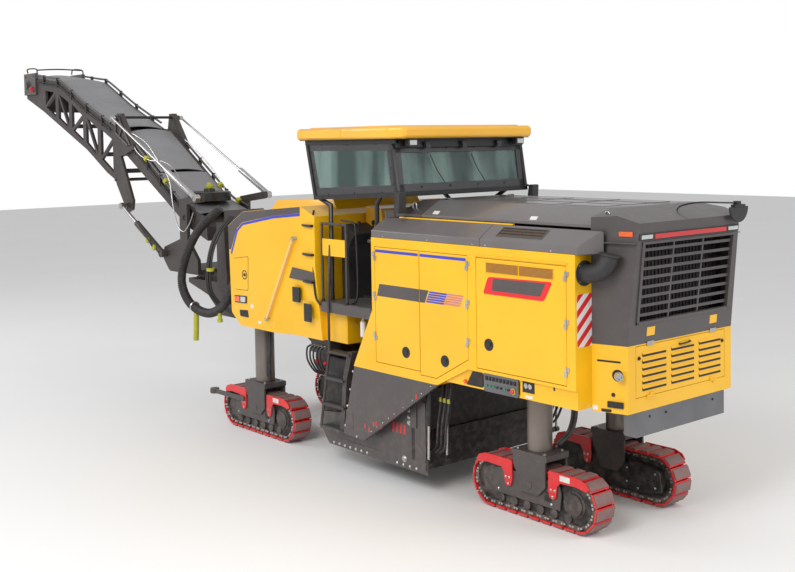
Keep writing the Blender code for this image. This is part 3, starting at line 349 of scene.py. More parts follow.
def surface(
    name, colour, rough, metallic=0.0, coat=0.0, deep=0.85, mottle=1.3, grain=260.0, bump=0.0004,
    worn=None, wear=0.5, dust=0.12, alpha=1.0, pattern=None, depth=0.002,
):
    """A paint, metal, rubber or plastic: mottled, grained, worn at its edges and dusty low down."""
    graph = Graph(name)
    shader = graph.shader
    broad = graph.noise(mottle, 5.0)
    fine = graph.noise(grain, 2.0)
    patch = graph.noise(mottle * 9, 6.0)
    dark = tuple(channel * deep for channel in colour)
    tone = graph.mix(graph.ramp(broad, 0.35, 0.65), dark, colour)
    tone = graph.mix(graph.math("MULTIPLY", graph.ramp(fine, 0.45, 0.75), 0.12), tone, dark)
    height = graph.add("ShaderNodeSeparateXYZ", Vector=graph.coords).outputs[2]
    low = graph.ramp(height, 1.5, 0.1)
    grime = graph.math("MULTIPLY", graph.ramp(patch, 0.42, 0.70), graph.math("MULTIPLY", low, dust * 4, True))
    tone = graph.mix(grime, tone, (0.24, 0.20, 0.17))
    tone = graph.mix(graph.math("MULTIPLY", graph.ramp(patch, 0.5, 0.8), dust), tone, (0.30, 0.26, 0.23))
    if worn:
        rub = graph.math("MULTIPLY", graph.edges(0.006), graph.ramp(patch, 0.45, 0.62))
        tone = graph.mix(graph.math("MULTIPLY", rub, wear, True), tone, worn)
    relief = fine
    if pattern:
        relief, tone = pattern(graph, tone)
    graph.feed(shader.inputs["Base Color"], tone)
    spread = graph.add("ShaderNodeMapRange", Value=patch, To_Min=max(rough - 0.07, 0.02), To_Max=rough + 0.10)
    graph.feed(shader.inputs["Roughness"], spread.outputs[0])
    shader.inputs["Metallic"].default_value = metallic
    shader.inputs["Coat Weight"].default_value = coat
    shader.inputs["Coat Roughness"].default_value = 0.08
    shader.inputs["Alpha"].default_value = alpha
    dent = graph.add("ShaderNodeBump", Height=relief, Distance=depth if pattern else bump, Strength=1.0)
    graph.feed(shader.inputs["Normal"], dent.outputs[0])
    return graph.material


def diamonds(pitch, raised, colour):
    """A pattern of raised diamonds, as on tread plate or woven mesh."""

    def build(graph, tone):
        split = graph.add("ShaderNodeSeparateXYZ", Vector=graph.coords)
        x, y, z = split.outputs[0], split.outputs[1], split.outputs[2]
        u = graph.math("MULTIPLY", graph.math("ADD", graph.math("ADD", x, y), z), math.pi / pitch)
        v = graph.math("MULTIPLY", graph.math("SUBTRACT", graph.math("SUBTRACT", x, y), z), math.pi / pitch)
        wave = graph.math("MULTIPLY", graph.math("SINE", u), graph.math("SINE", v))
        peak = graph.ramp(wave, raised, raised + 0.25)
        return peak, graph.mix(peak, tone, colour)

    return build


def grooves(pitch, axis, colour):
    """Fine parallel grooves across one axis."""

    def build(graph, tone):
        split = graph.add("ShaderNodeSeparateXYZ", Vector=graph.coords)
        wave = graph.math("SINE", graph.math("MULTIPLY", split.outputs[axis], 2 * math.pi / pitch))
        line = graph.ramp(wave, -0.2, 0.6)
        return line, graph.mix(line, colour, tone)

    return build


YELLOW = surface(
    "yellow_paint", (0.95, 0.515, 0.004), 0.34, coat=0.35, deep=0.93, worn=(0.80, 0.42, 0.01), wear=0.5,
    dust=0.02
)
CHARCOAL = surface(
    "charcoal_paint", (0.082, 0.070, 0.069), 0.38, coat=0.25, deep=0.86, worn=(0.20, 0.18, 0.17),
    dust=0.05
)
HOOD = surface(
    "hood_charcoal", (0.155, 0.140, 0.140), 0.32, coat=0.35, deep=0.88, worn=(0.24, 0.22, 0.21),
    dust=0.03
)
FRAME = surface("frame_paint", (0.060, 0.050, 0.048), 0.48, deep=0.75, worn=(0.17, 0.15, 0.14), dust=0.10)
DEEP = surface("shadow_black", (0.022, 0.018, 0.018), 0.55, deep=0.7, worn=(0.08, 0.07, 0.07), dust=0.08)
BLACK = surface("black_paint", (0.018, 0.017, 0.018), 0.34, deep=0.7, worn=(0.07, 0.065, 0.06), dust=0.05)
PLASTIC = surface("black_plastic", (0.030, 0.029, 0.030), 0.55, deep=0.8, grain=900.0, bump=0.0008, dust=0.05)
RUBBER = surface("hose_rubber", (0.035, 0.032, 0.032), 0.50, deep=0.7, grain=500.0, bump=0.0008, dust=0.12)
RED = surface(
    "red_paint", (0.80, 0.012, 0.018), 0.36, coat=0.3, deep=0.85, worn=(0.30, 0.05, 0.04), dust=0.04
)
STEEL = surface("bright_steel", (0.62, 0.61, 0.60), 0.26, metallic=0.95, deep=0.8, grain=700.0, dust=0.05)
CAST = surface(
    "cast_iron", (0.13, 0.115, 0.11), 0.55, metallic=0.6, deep=0.6, grain=160.0, bump=0.0015,
    worn=(0.35, 0.32, 0.30)
)
CHAIN = surface(
    "chain_steel", (0.16, 0.12, 0.105), 0.48, metallic=0.7, deep=0.55, grain=200.0, bump=0.001,
    worn=(0.5, 0.46, 0.42), dust=0.25
)
PAD = surface(
    "shoe_pad", (0.30, 0.17, 0.165), 0.72, deep=0.80, grain=220.0, bump=0.002, worn=(0.40, 0.26, 0.24),
    dust=0.15
)
AMBER = surface(
    "amber_shell", (0.93, 0.48, 0.03), 0.30, coat=0.5, deep=0.94, grain=500.0, bump=0.0002, dust=0.05
)
GALVANISED = surface(
    "galvanised", (0.20, 0.20, 0.21), 0.34, metallic=0.85, deep=0.86, mottle=3.0, grain=320.0, dust=0.04
)
BLUE = surface("blue_decal", (0.035, 0.055, 0.52), 0.32, coat=0.3, deep=0.9, dust=0.02)
SALMON = surface("salmon_decal", (0.82, 0.27, 0.12), 0.34, coat=0.3, deep=0.9, dust=0.02)
WHITE = surface("white_label", (0.80, 0.79, 0.76), 0.42, deep=0.92, dust=0.10)
PALE = surface("pale_cover", (0.27, 0.265, 0.275), 0.40, deep=0.85, worn=(0.40, 0.38, 0.36), dust=0.10)
TUBE = surface("painted_tube", (0.93, 0.60, 0.22), 0.34, coat=0.3, deep=0.93, dust=0.04)
LIME = surface("lime_fitting", (0.50, 0.50, 0.03), 0.5, deep=0.8, grain=420.0, bump=0.001, dust=0.10)
ORANGE_LENS = surface(
    "orange_lens", (0.95, 0.14, 0.01), 0.14, coat=0.8, deep=0.8, grain=120.0, bump=0.003, dust=0.0
)
RED_LENS = surface(
    "red_lens", (0.70, 0.008, 0.015), 0.14, coat=0.8, deep=0.8, grain=120.0, bump=0.003, dust=0.0
)
CLEAR_LENS = surface(
    "clear_lens", (0.55, 0.58, 0.58), 0.10, coat=0.8, deep=0.85, grain=140.0, bump=0.004, dust=0.0
)
GREEN = surface("green_button", (0.02, 0.22, 0.09), 0.4, coat=0.3, dust=0.0)
BELT = surface(
    "belt_rubber", (0.14, 0.135, 0.14), 0.68, deep=0.85, pattern=grooves(0.10, 0, (0.10, 0.095, 0.10)),
    depth=0.003, dust=0.15
)
TREAD = surface(
    "tread_plate", (0.075, 0.068, 0.066), 0.45, metallic=0.4,
    pattern=diamonds(0.030, 0.35, (0.16, 0.15, 0.145)), depth=0.004
)
MESH = surface(
    "orange_mesh", (0.20, 0.075, 0.012), 0.5, pattern=diamonds(0.012, 0.0, (0.72, 0.32, 0.02)),
    depth=0.003, dust=0.0
)
LEG = surface(
    "leg_steel", (0.27, 0.235, 0.21), 0.42, metallic=0.55, deep=0.72, grain=420.0, bump=0.0006,
    dust=0.12
)
YOKE = surface(
    "yoke_paint", (0.080, 0.068, 0.066), 0.45, coat=0.1, deep=0.85, worn=(0.18, 0.16, 0.15), dust=0.035
)
BORDER = surface("glass_border", (0.040, 0.038, 0.042), 0.36, coat=0.2, deep=0.8, dust=0.04)
DECK = surface(
    "deck_tread", (0.13, 0.125, 0.125), 0.42, metallic=0.3,
    pattern=diamonds(0.036, 0.30, (0.27, 0.26, 0.26)), depth=0.004, dust=0.10
)
DARK_MESH = surface(
    "brown_mesh", (0.02, 0.014, 0.010), 0.5, pattern=diamonds(0.012, 0.1, (0.16, 0.10, 0.06)),
    depth=0.003, dust=0.0
)


def glass():
    """Tinted cab glass: dark green with a hard gloss, and painted reflection as lighter upright bands in its
    colour.
    """
    graph = Graph("cab_glass")
    # painted reflection: noise stretched upright lifts the glass colour to a lighter green in bands
    painted_reflection = graph.noise(2.2, 3.0, (1.0, 1.0, 0.15))
    tone = graph.mix(graph.ramp(painted_reflection, 0.40, 0.62), (0.020, 0.055, 0.050), (0.20, 0.30, 0.27))
    graph.feed(graph.shader.inputs["Base Color"], tone)
    rough = graph.add("ShaderNodeMapRange", Value=graph.noise(30.0), To_Min=0.03, To_Max=0.10)
    graph.feed(graph.shader.inputs["Roughness"], rough.outputs[0])
    graph.shader.inputs["Alpha"].default_value = 0.66
    graph.shader.inputs["Coat Weight"].default_value = 0.6
    ripple = graph.add("ShaderNodeBump", Height=graph.noise(3.0), Distance=0.002, Strength=0.3)
    graph.feed(graph.shader.inputs["Normal"], ripple.outputs[0])
    return graph.material


GLASS = glass()


# ---------------------------------------------------------------- sizes shared with the CAD source
BODY_HALF = 1.25
BOX_REAR_X = -3.42
REAR_X = -3.80
CAP_X, CAP_Z = -3.93, 3.37
COWL_Z = 2.13
SEAM_X = -2.06           # seam across the dark side covers
DOORS = {
    "front": [(-0.235, 2.94), (-0.235, 1.53), (-1.045, 1.53), (-1.045, 2.94)],
    "middle": [(-1.055, 2.94), (-1.055, 1.49), (-1.33, 1.49), (-1.86, 1.78), (-1.86, 2.94)],
    "rear": [(-2.00, 2.93), (-2.00, 1.71), (-3.30, 1.71), (-3.30, 2.93)],
}
HINGES = {"front": (-0.232, -1), "middle": (-1.863, 1), "rear": (-3.303, 1)}
HINGE_LOW = {"front": 1.80, "middle": 1.92, "rear": 1.80}
LATCHES = {"front": (-0.80, 1.72), "middle": (-1.48, 1.71), "rear": (-2.19, 1.99)}


def cowl_x(z):
    """Rear face of the leaning cowl at a height."""
    return REAR_X + (CAP_X - REAR_X) * (z - COWL_Z) / (CAP_Z - COWL_Z)


def patch(shape, side, outline, depth=DECAL, at=None):
    """A thin plate on a side panel, from an (x, z) outline; at gives the panel's y at (x, z)."""
    face = at or (lambda x, z: BODY_HALF)
    rings = []
    for lift in (-0.0005, depth):
        rings.append([(x, side * (face(x, z) + lift), z) for x, z in outline])
    return shape.loft(rings)


def ribbon(points, width):
    """Outline of a strip that runs along a polyline."""
    points = [Vector(p) for p in points]
    left, right = [], []
    for i, point in enumerate(points):
        before = (point - points[i - 1]).normalized() if i else (points[1] - point).normalized()
        after = (points[i + 1] - point).normalized() if i + 1 < len(points) else before
        normal = Vector((-before.y - after.y, before.x + after.x)) / (1 + before.dot(after))
        left.append(tuple(point + normal * width / 2))
        right.append(tuple(point - normal * width / 2))
    return left + right[::-1]


def slant(x0, x1, z0, z1, lean):
    """A parallelogram whose ends lean: its top is shifted by lean."""
    return [(x0, z0), (x1, z0), (x1 + lean, z1), (x0 + lean, z1)]


# ---------------------------------------------------------------- side doors
def latch(shape, x, z, side):
    """A round paddle latch: a bezel with a dished middle and a flap."""
    foot = (x, side * BODY_HALF, z)
    face = (x, side * (BODY_HALF + 1), z)
    dish = ((0, 0.068), (0.007, 0.067), (0.010, 0.061), (0.009, 0.053), (0.003, 0.048), (0.003, 0.002))
    shape.turned(foot, face, dish, 28)
    low = side * (BODY_HALF + 0.003)
    high = side * (BODY_HALF + 0.009)
    flap = rounded(
        [
            (x - 0.034, z - 0.020), (x + 0.030, z - 0.020), (x + 0.026, z + 0.022),
            (x - 0.030, z + 0.022)
        ], 0.012
    )
    shape.loft([[(a, low, b) for a, b in flap], [(a, high + side * 0.003 * (b > z), b) for a, b in flap]])


def hinge(shape, x, z, side, way):
    """A bright hinge sleeve and its leaf over a CAD knuckle."""
    y = side * (BODY_HALF + 0.012)
    shape.turned(
        (x, y, z), (x, y, z + 1), ((0, 0.0105), (0.002, 0.0122), (0.048, 0.0122), (0.05, 0.0105)), 14
    )
    leaf = sorted((x + way * 0.006, x + way * 0.0355))
    shape.box(leaf, across(side, BODY_HALF - 0.002, BODY_HALF + 0.0108), (z + 0.0005, z + 0.0495))
    for share in (0.25, 0.75):
        centre = (x + way * 0.025, side * (BODY_HALF + 0.0106), z + 0.05 * share)
        shape.bolt(centre, (0, side, 0), 0.003, 0.002)


def flag(colours, side, x0, x1, z0, z1, lean):
    """Slanting rows of blue, then salmon, that end the dark band."""
    rows = 5
    pitch = (z1 - z0) / rows
    middle = x0 + 0.52 * (x1 - x0)
    for row in range(rows):
        low = z0 + row * pitch
        shift = lean * row * pitch / (z1 - z0)
        for colour, a, b, tall in (("blue", x0, middle, 0.74), ("salmon", middle, x1, 0.62)):
            outline = slant(a + shift, b + shift, low, low + tall * pitch, lean * tall / rows)
            patch(colours[colour], side, outline)
        line = slant(middle + shift, x1 + shift, low + 0.62 * pitch, low + 0.76 * pitch, lean * 0.14 / rows)
        patch(colours["blue"], side, line)


def doors():
    for side_name, side in SIDES:
        for where, outline in DOORS.items():
            name = "door_%s_%s" % (where, side_name)
            panel = Shape()
            panel.prism("y", outline, side * (BODY_HALF - 0.03), side * BODY_HALF)
            piece = place(name + "_panel", panel, name, YELLOW, 0.006, "yellow_paint")
            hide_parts(name)
            dark = Shape()
            latch(dark, *LATCHES[where], side)
            place(name + "_latch", dark, name, BLACK, 0.001, "black_plastic")
            moving, fixed = Shape(), Shape()
            x, way = HINGES[where]
            for k in range(3):
                z = HINGE_LOW[where] + k * (2.78 - HINGE_LOW[where]) / 2
                hinge(moving, x, z, side, way)
                hinge(fixed, x, z + 0.0503, side, -way)
            place(name + "_hinges", moving, name, STEEL, 0.0, "bare_steel")
            place(name + "_hinge_frame", fixed, "machine", STEEL, 0.0, "bare_steel")
        blue, band, salmon = Shape(), Shape(), Shape()
        patch(blue, side, [(-0.25, 2.878), (-1.035, 2.878), (-1.035, 2.912), (-0.25, 2.912)])
        patch(band, side, slant(-0.27, -1.045, 2.345, 2.495, 0.0)[:2] + [(-1.045, 2.495), (-0.32, 2.495)])
        place("door_front_%s_stripe" % side_name, blue, "door_front_" + side_name, BLUE, 0)
        place("door_front_%s_band" % side_name, band, "door_front_" + side_name, CHARCOAL, 0)
        blue, band = Shape(), Shape()
        patch(blue, side, [(-1.065, 2.878), (-1.84, 2.878), (-1.84, 2.912), (-1.065, 2.912)])
        patch(band, side, [(-1.056, 2.345), (-1.145, 2.345), (-1.215, 2.495), (-1.056, 2.495)])
        flag({"blue": blue, "salmon": salmon}, side, -1.165, -1.74, 2.355, 2.495, -0.07)
        place("door_middle_%s_stripe" % side_name, blue, "door_middle_" + side_name, BLUE, 0)
        place("door_middle_%s_band" % side_name, band, "door_middle_" + side_name, CHARCOAL, 0)
        place("door_middle_%s_flag" % side_name, salmon, "door_middle_" + side_name, SALMON, 0)
        rear_door_trim(side_name, side)


def rear_door_trim(side_name, side):
    """Mesh vent, blank red plate and drip rail of the big door."""
    body = "door_rear_" + side_name
    vent, rim, plate, field = Shape(), Shape(), Shape(), Shape()
    for x0, x1 in ((-2.165, -2.635), (-2.655, -3.125)):
        patch(vent, side, [(x0, 2.785), (x1, 2.785), (x1, 2.885), (x0, 2.885)], 0.003)
    for x0, x1, z0, z1 in (
        (-2.15, -3.14, 2.772, 2.780), (-2.15, -3.14, 2.890, 2.898), (-2.15, -2.158, 2.780, 2.890),
        (-3.132, -3.14, 2.780, 2.890), (-2.641, -2.649, 2.780, 2.890),
    ):
        patch(rim, side, [(x0, z0), (x1, z0), (x1, z1), (x0, z1)], 0.006)
    outline = rounded([(-2.11, 2.545), (-3.00, 2.545), (-3.12, 2.755), (-2.19, 2.735)], 0.035)
    patch(plate, side, outline, 0.006)
    inner = rounded([(-2.25, 2.59), (-2.95, 2.59), (-3.03, 2.735), (-2.27, 2.722)], 0.02)
    patch(field, side, inner, 0.0085)
    place(body + "_vent", vent, body, MESH, 0, "yellow_paint")
    place(body + "_vent_rim", rim, body, YELLOW, 0.001, "yellow_paint")
    place(body + "_plate", plate, body, RED, 0.002)
    place(body + "_plate_field", field, body, CHARCOAL, 0.001)
    rail = Shape()
    patch(rail, side, [(-1.985, 2.948), (-3.32, 2.948), (-3.32, 2.966), (-1.985, 2.966)], 0.012)
    place("drip_rail_" + side_name, rail, "machine", YELLOW, 0.003, "yellow_paint")


# ---------------------------------------------------------------- side boxes and ground panel
def button(shape, x, z, y, side, radius, height):
    foot = (x, side * y, z)
    profile = ((0, radius), (height * 0.7, radius), (height, radius * 0.75))
    shape.turned(foot, (x, side * (y + 1), z), profile, 18)


def ground_panel():
    """Grey switch box in the recess under the big door, with sockets and a lamp beside it."""
    for side_name, side in SIDES:
        case, keys, green, stop, collar = Shape(), Shape(), Shape(), Shape(), Shape()
        outline = rounded([(-2.095, 1.468), (-2.612, 1.468), (-2.612, 1.668), (-2.095, 1.668)], 0.02)
        case.prism("y", outline, side * 1.2205, side * 1.242)
        for x, z in ((-2.11, 1.484), (-2.597, 1.484), (-2.11, 1.652), (-2.597, 1.652)):
            case.bolt((x, side * 1.242, z), (0, side, 0), 0.004, 0.003)
        for i in range(9):
            x = -2.14 - i * 0.053
            keys.box((x - 0.016, x + 0.016), across(side, 1.242, 1.250), (1.595, 1.640))
            keys.box((x - 0.010, x + 0.010), across(side, 1.249, 1.254), (1.600, 1.618))
        for i in range(7):
            target = green if i in (0, 1, 2, 5) else keys
            button(target, -2.14 - i * 0.055, 1.535, 1.242, side, 0.015, 0.012)
        button(collar, -2.535, 1.527, 1.242, side, 0.036, 0.004)
        button(stop, -2.535, 1.527, 1.246, side, 0.025, 0.022)
        hole = Shape()
        hole.prism(
            "y", rounded([(-1.80, 1.49), (-2.06, 1.49), (-2.06, 1.655), (-1.90, 1.655)], 0.012),
            side * 1.2205, side * 1.223
        )
        hole.prism(
            "y", [(-2.66, 1.545), (-2.83, 1.545), (-2.83, 1.685), (-2.66, 1.685)], side * 1.2195,
            side * 1.224
        )
        hole.prism(
            "y", [(-3.095, 1.625), (-3.118, 1.625), (-3.118, 1.668), (-3.095, 1.668)], side * 1.2195,
            side * 1.2225
        )
        lamp, ring = Shape(), Shape()
        button(lamp, -1.79, 1.525, 1.2205, side, 0.022, 0.030)
        for x in (-2.715, -2.775):
            foot = (x, side * 1.224, 1.615)
            ring.turned(
                foot, (x, side * 2.224, 1.615),
                ((0, 0.028), (0.012, 0.028), (0.014, 0.024), (0.006, 0.019), (0.006, 0.001)), 20
            )
        label = Shape()
        label.box((-2.80, -2.70), across(side, 1.219, 1.2215), (1.485, 1.515))
        tag = "ground_" + side_name
        place(tag + "_case", case, "machine", GALVANISED, 0.003, "black_plastic")
        place(tag + "_keys", keys, "machine", BLACK, 0.0015, "black_plastic")
        place(tag + "_green", green, "machine", GREEN, 0.0)
        place(tag + "_stop", stop, "machine", RED_LENS, 0.0)
        place(tag + "_collar", collar, "machine", LIME, 0.0)
        place(tag + "_recess", hole, "machine", DEEP, 0.0)
        place(tag + "_lamp", lamp, "machine", ORANGE_LENS, 0.0)
        place(tag + "_sockets", ring, "machine", STEEL, 0.0)
        place(tag + "_label", label, "machine", WHITE, 0.0)


def hazard(name, facing, centre, width, height, up=(0, 0, 1)):
    """A red and white marker board with rounded corners and slanting stripes."""
    facing, up, centre = Vector(facing), Vector(up), Vector(centre)
    right = up.cross(facing).normalized()
    board = rounded(
        [
            (-width / 2, -height / 2), (width / 2, -height / 2), (width / 2, height / 2),
            (-width / 2, height / 2)
        ], 0.035,
    )
    base, bars = Shape(), Shape()

    def lay(shape, outline, low, high):
        shape.loft([[centre + right * a + up * b + facing * d for a, b in outline] for d in (low, high)])

    lay(base, board, -0.0005, 0.002)
    direction = Vector((-0.66, 0.75))
    pitch = 0.115
    for k in range(-4, 5):
        stripe = slab_clip(board, direction, k * pitch, k * pitch + pitch * 0.48)
        if len(stripe) > 2:
            lay(bars, stripe, 0.0015, 0.0035)
    place(name + "_board", base, "machine", WHITE, 0)
    place(name + "_bars", bars, "machine", RED, 0)


# ---------------------------------------------------------------- cover, hood and cowl
def cover_trim():
    """Seams, mesh windows and fittings of the dark covers and the hood."""
    for side_name, side in SIDES:
        seam, window, frame_bars, bolts = Shape(), Shape(), Shape(), Shape()
        section = [(1.2515, 3.056), (1.2515, 3.141), (1.031, 3.2915)]
        for (y0, z0), (y1, z1) in zip(section, section[1:]):
            ring = [(y0, z0), (y1, z1), (y1 - 0.004, z1 - 0.004), (y0 - 0.004, z0 - 0.004)]
            seam.loft([[(x, side * y, z) for y, z in ring] for x in (SEAM_X - 0.002, SEAM_X + 0.002)])

        def slope(share, lift):
            return (side * (1.25 - 0.22 * share + 0.56 * lift), 3.14 + 0.15 * share + 0.83 * lift)

        for shape, x0, x1, s0, s1, lift in (
            (window, -2.27, -2.91, 0.30, 0.80, 0.002), (frame_bars, -2.255, -2.27, 0.25, 0.85, 0.006),
            (frame_bars, -2.91, -2.925, 0.25, 0.85, 0.006), (frame_bars, -2.27, -2.91, 0.25, 0.30, 0.006),
            (frame_bars, -2.27, -2.91, 0.80, 0.85, 0.006),
        ):
            ring = [slope(s0, -0.002), slope(s1, -0.002), slope(s1, lift), slope(s0, lift)]
            shape.loft([[(x, y, z) for y, z in ring] for x in (x0, x1)])
        for x in (-0.40, -1.2, -1.95, -2.15, -3.1):
            bolts.bolt((x, side * 1.2505, 3.075), (0, side, 0), 0.006, 0.004)
        place("cover_seam_" + side_name, seam, "machine", DEEP, 0)
        place("cover_window_" + side_name, window, "machine", DARK_MESH, 0)
        place("cover_window_rim_" + side_name, frame_bars, "machine", CHARCOAL, 0.001, "charcoal_paint")
        place("cover_bolts_" + side_name, bolts, "machine", STEEL, 0)
        strip = Shape()
        strip.box((-2.35, -0.45), across(side, 0.992, 1.030), (3.288, 3.304))
        place("cover_gap_strip_" + side_name, strip, "machine", YELLOW, 0.003, "yellow_paint")
    ribs, tags, eyes = Shape(), Shape(), Shape()
    for side in (1, -1):
        for x in (-1.02, -2.58):
            tags.loft(
                [
                    [
                        (x - 0.05, side * 0.955, z0), (x + 0.05, side * 0.955, z0),
                        (x + 0.07, side * 0.90, z1), (x - 0.03, side * 0.90, z1)
                    ] for z0, z1 in ((3.352, 3.384), (3.356, 3.388))
                ]
            )
    for x0, x1 in ((-1.25, -1.85), (-1.95, -2.55), (-2.65, -3.25)):
        for y in (-0.42, 0.0, 0.42):
            plan = rounded([(x0, y - 0.17), (x1, y - 0.17), (x1, y + 0.17), (x0, y + 0.17)], 0.05)
            ribs.loft([[(x, b, z) for x, b in plan] for z in (3.4995, 3.506)])
    place("hood_ribs", ribs, "hood", HOOD, 0.003, "charcoal_paint")
    place("hood_tags", tags, "hood", WHITE, 0)
    for side in (1, -1):
        for x in (-3.52, -0.55):
            arch = [
                (x - 0.03, side * 0.86, 3.395), (x - 0.03, side * 0.86, 3.45), (x, side * 0.86, 3.475),
                (x + 0.03, side * 0.86, 3.45), (x + 0.03, side * 0.86, 3.395)
            ]
            eyes.pipe(arch, 0.008, 10, 6)
    place("lifting_eyes", eyes, "machine", STEEL, 0, "bare_steel")


def lean_box(shape, y, z, lift):
    """A block on the leaning rear face of the cowl, standing off it by lift."""
    ring = [
        (cowl_x(z[0]) + 0.004, z[0]), (cowl_x(z[1]) + 0.004, z[1]), (cowl_x(z[1]) - lift, z[1]),
        (cowl_x(z[0]) - lift, z[0])
    ]
    shape.loft([[(x, b, h) for x, h in ring] for b in y])


def rear_cowl_trim():
    """Lamps, light strip, grille frame, core, labels and hinges of the cowl's rear face."""
    frame_bars, strip, clear, dark, labels, hinges = (Shape() for _ in range(6))
    for y, z in (
        ((-0.80, -0.765), (2.34, 3.17)), ((0.765, 0.80), (2.34, 3.17)), ((-0.80, 0.80), (2.335, 2.365)),
        ((-0.80, 0.80), (3.155, 3.18))
    ):
        lean_box(frame_bars, y, z, 0.016)
    lean_box(dark, (-0.86, 0.86), (3.195, 3.262), 0.010)
    lean_box(strip, (-0.62, 0.62), (3.203, 3.252), 0.016)
    for y in ((0.66, 0.835), (-0.835, -0.66)):
        lean_box(clear, y, (3.208, 3.250), 0.020)
        lean_box(dark, (y[0] - 0.008, y[1] + 0.008), (3.200, 3.258), 0.012)
    for y in (0.545, -0.545):
        lean_box(labels, (y - 0.065, y + 0.065), (2.205, 2.295), 0.003)
        for k in (-1, 1):
            hinges.box(
                (REAR_X - 0.013, REAR_X - 0.001), sorted((y + k * 0.001, y + k * 0.055)), (2.105, 2.15)
            )
    core = Shape()
    core.box((-3.66, -3.64), (-0.90, 0.90), (2.20, 3.26))
    for i in range(30):
        y = -0.87 + i * 0.06
        core.box((-3.672, -3.655), (y - 0.006, y + 0.006), (2.21, 3.25))
    core.box((-3.72, -3.70), (-0.80, 0.80), (1.52, 2.12))
    place("grille_frame", frame_bars, "machine", CHARCOAL, 0.004, "charcoal_paint")
    place("tail_strip", strip, "machine", RED_LENS, 0.004)
    place("tail_housings", dark, "machine", PLASTIC, 0.003, "black_plastic")
    place("tail_lamps", clear, "machine", CLEAR_LENS, 0.004)
    place("rear_labels", labels, "machine", YELLOW, 0)
    place("rear_seam_hinges", hinges, "machine", STEEL, 0.002, "bare_steel")
    place("radiator_core", core, "machine", DEEP, 0, "black_paint")
    for side_name, side in SIDES:
        lamp, shelf = Shape(), Shape()
        for x0, x1, grow, target in ((-3.865, -3.715, 0.006, shelf), (-3.86, -3.72, 0.012, lamp)):
            ring = []
            for x, z in ((x0, 3.235), (x1, 3.235), (x1, 3.285), (x0, 3.285)):
                ring.append((x, z))
            rings = []
            for lift in (-0.01, grow):
                rings.append([(x, side * (1.0 + (x - BOX_REAR_X) * 0.263 + lift), z) for x, z in ring])
            target.loft(rings)
        rings = [
            [
                (x, side * (1.0 + (x - BOX_REAR_X) * 0.263 + lift), z) for x in (-3.90, -3.56)
            ] + [(x, side * (1.0 + (x - BOX_REAR_X) * 0.263 - 0.01), z) for x in (-3.56, -3.90)]
            for lift, z in ((0.055, 3.165), (0.055, 3.175))
        ]
        shelf.loft(rings)
        place("corner_lamp_" + side_name, lamp, "machine", ORANGE_LENS, 0.003)
        place("corner_shelf_" + side_name, shelf, "machine", CHARCOAL, 0.002, "charcoal_paint")


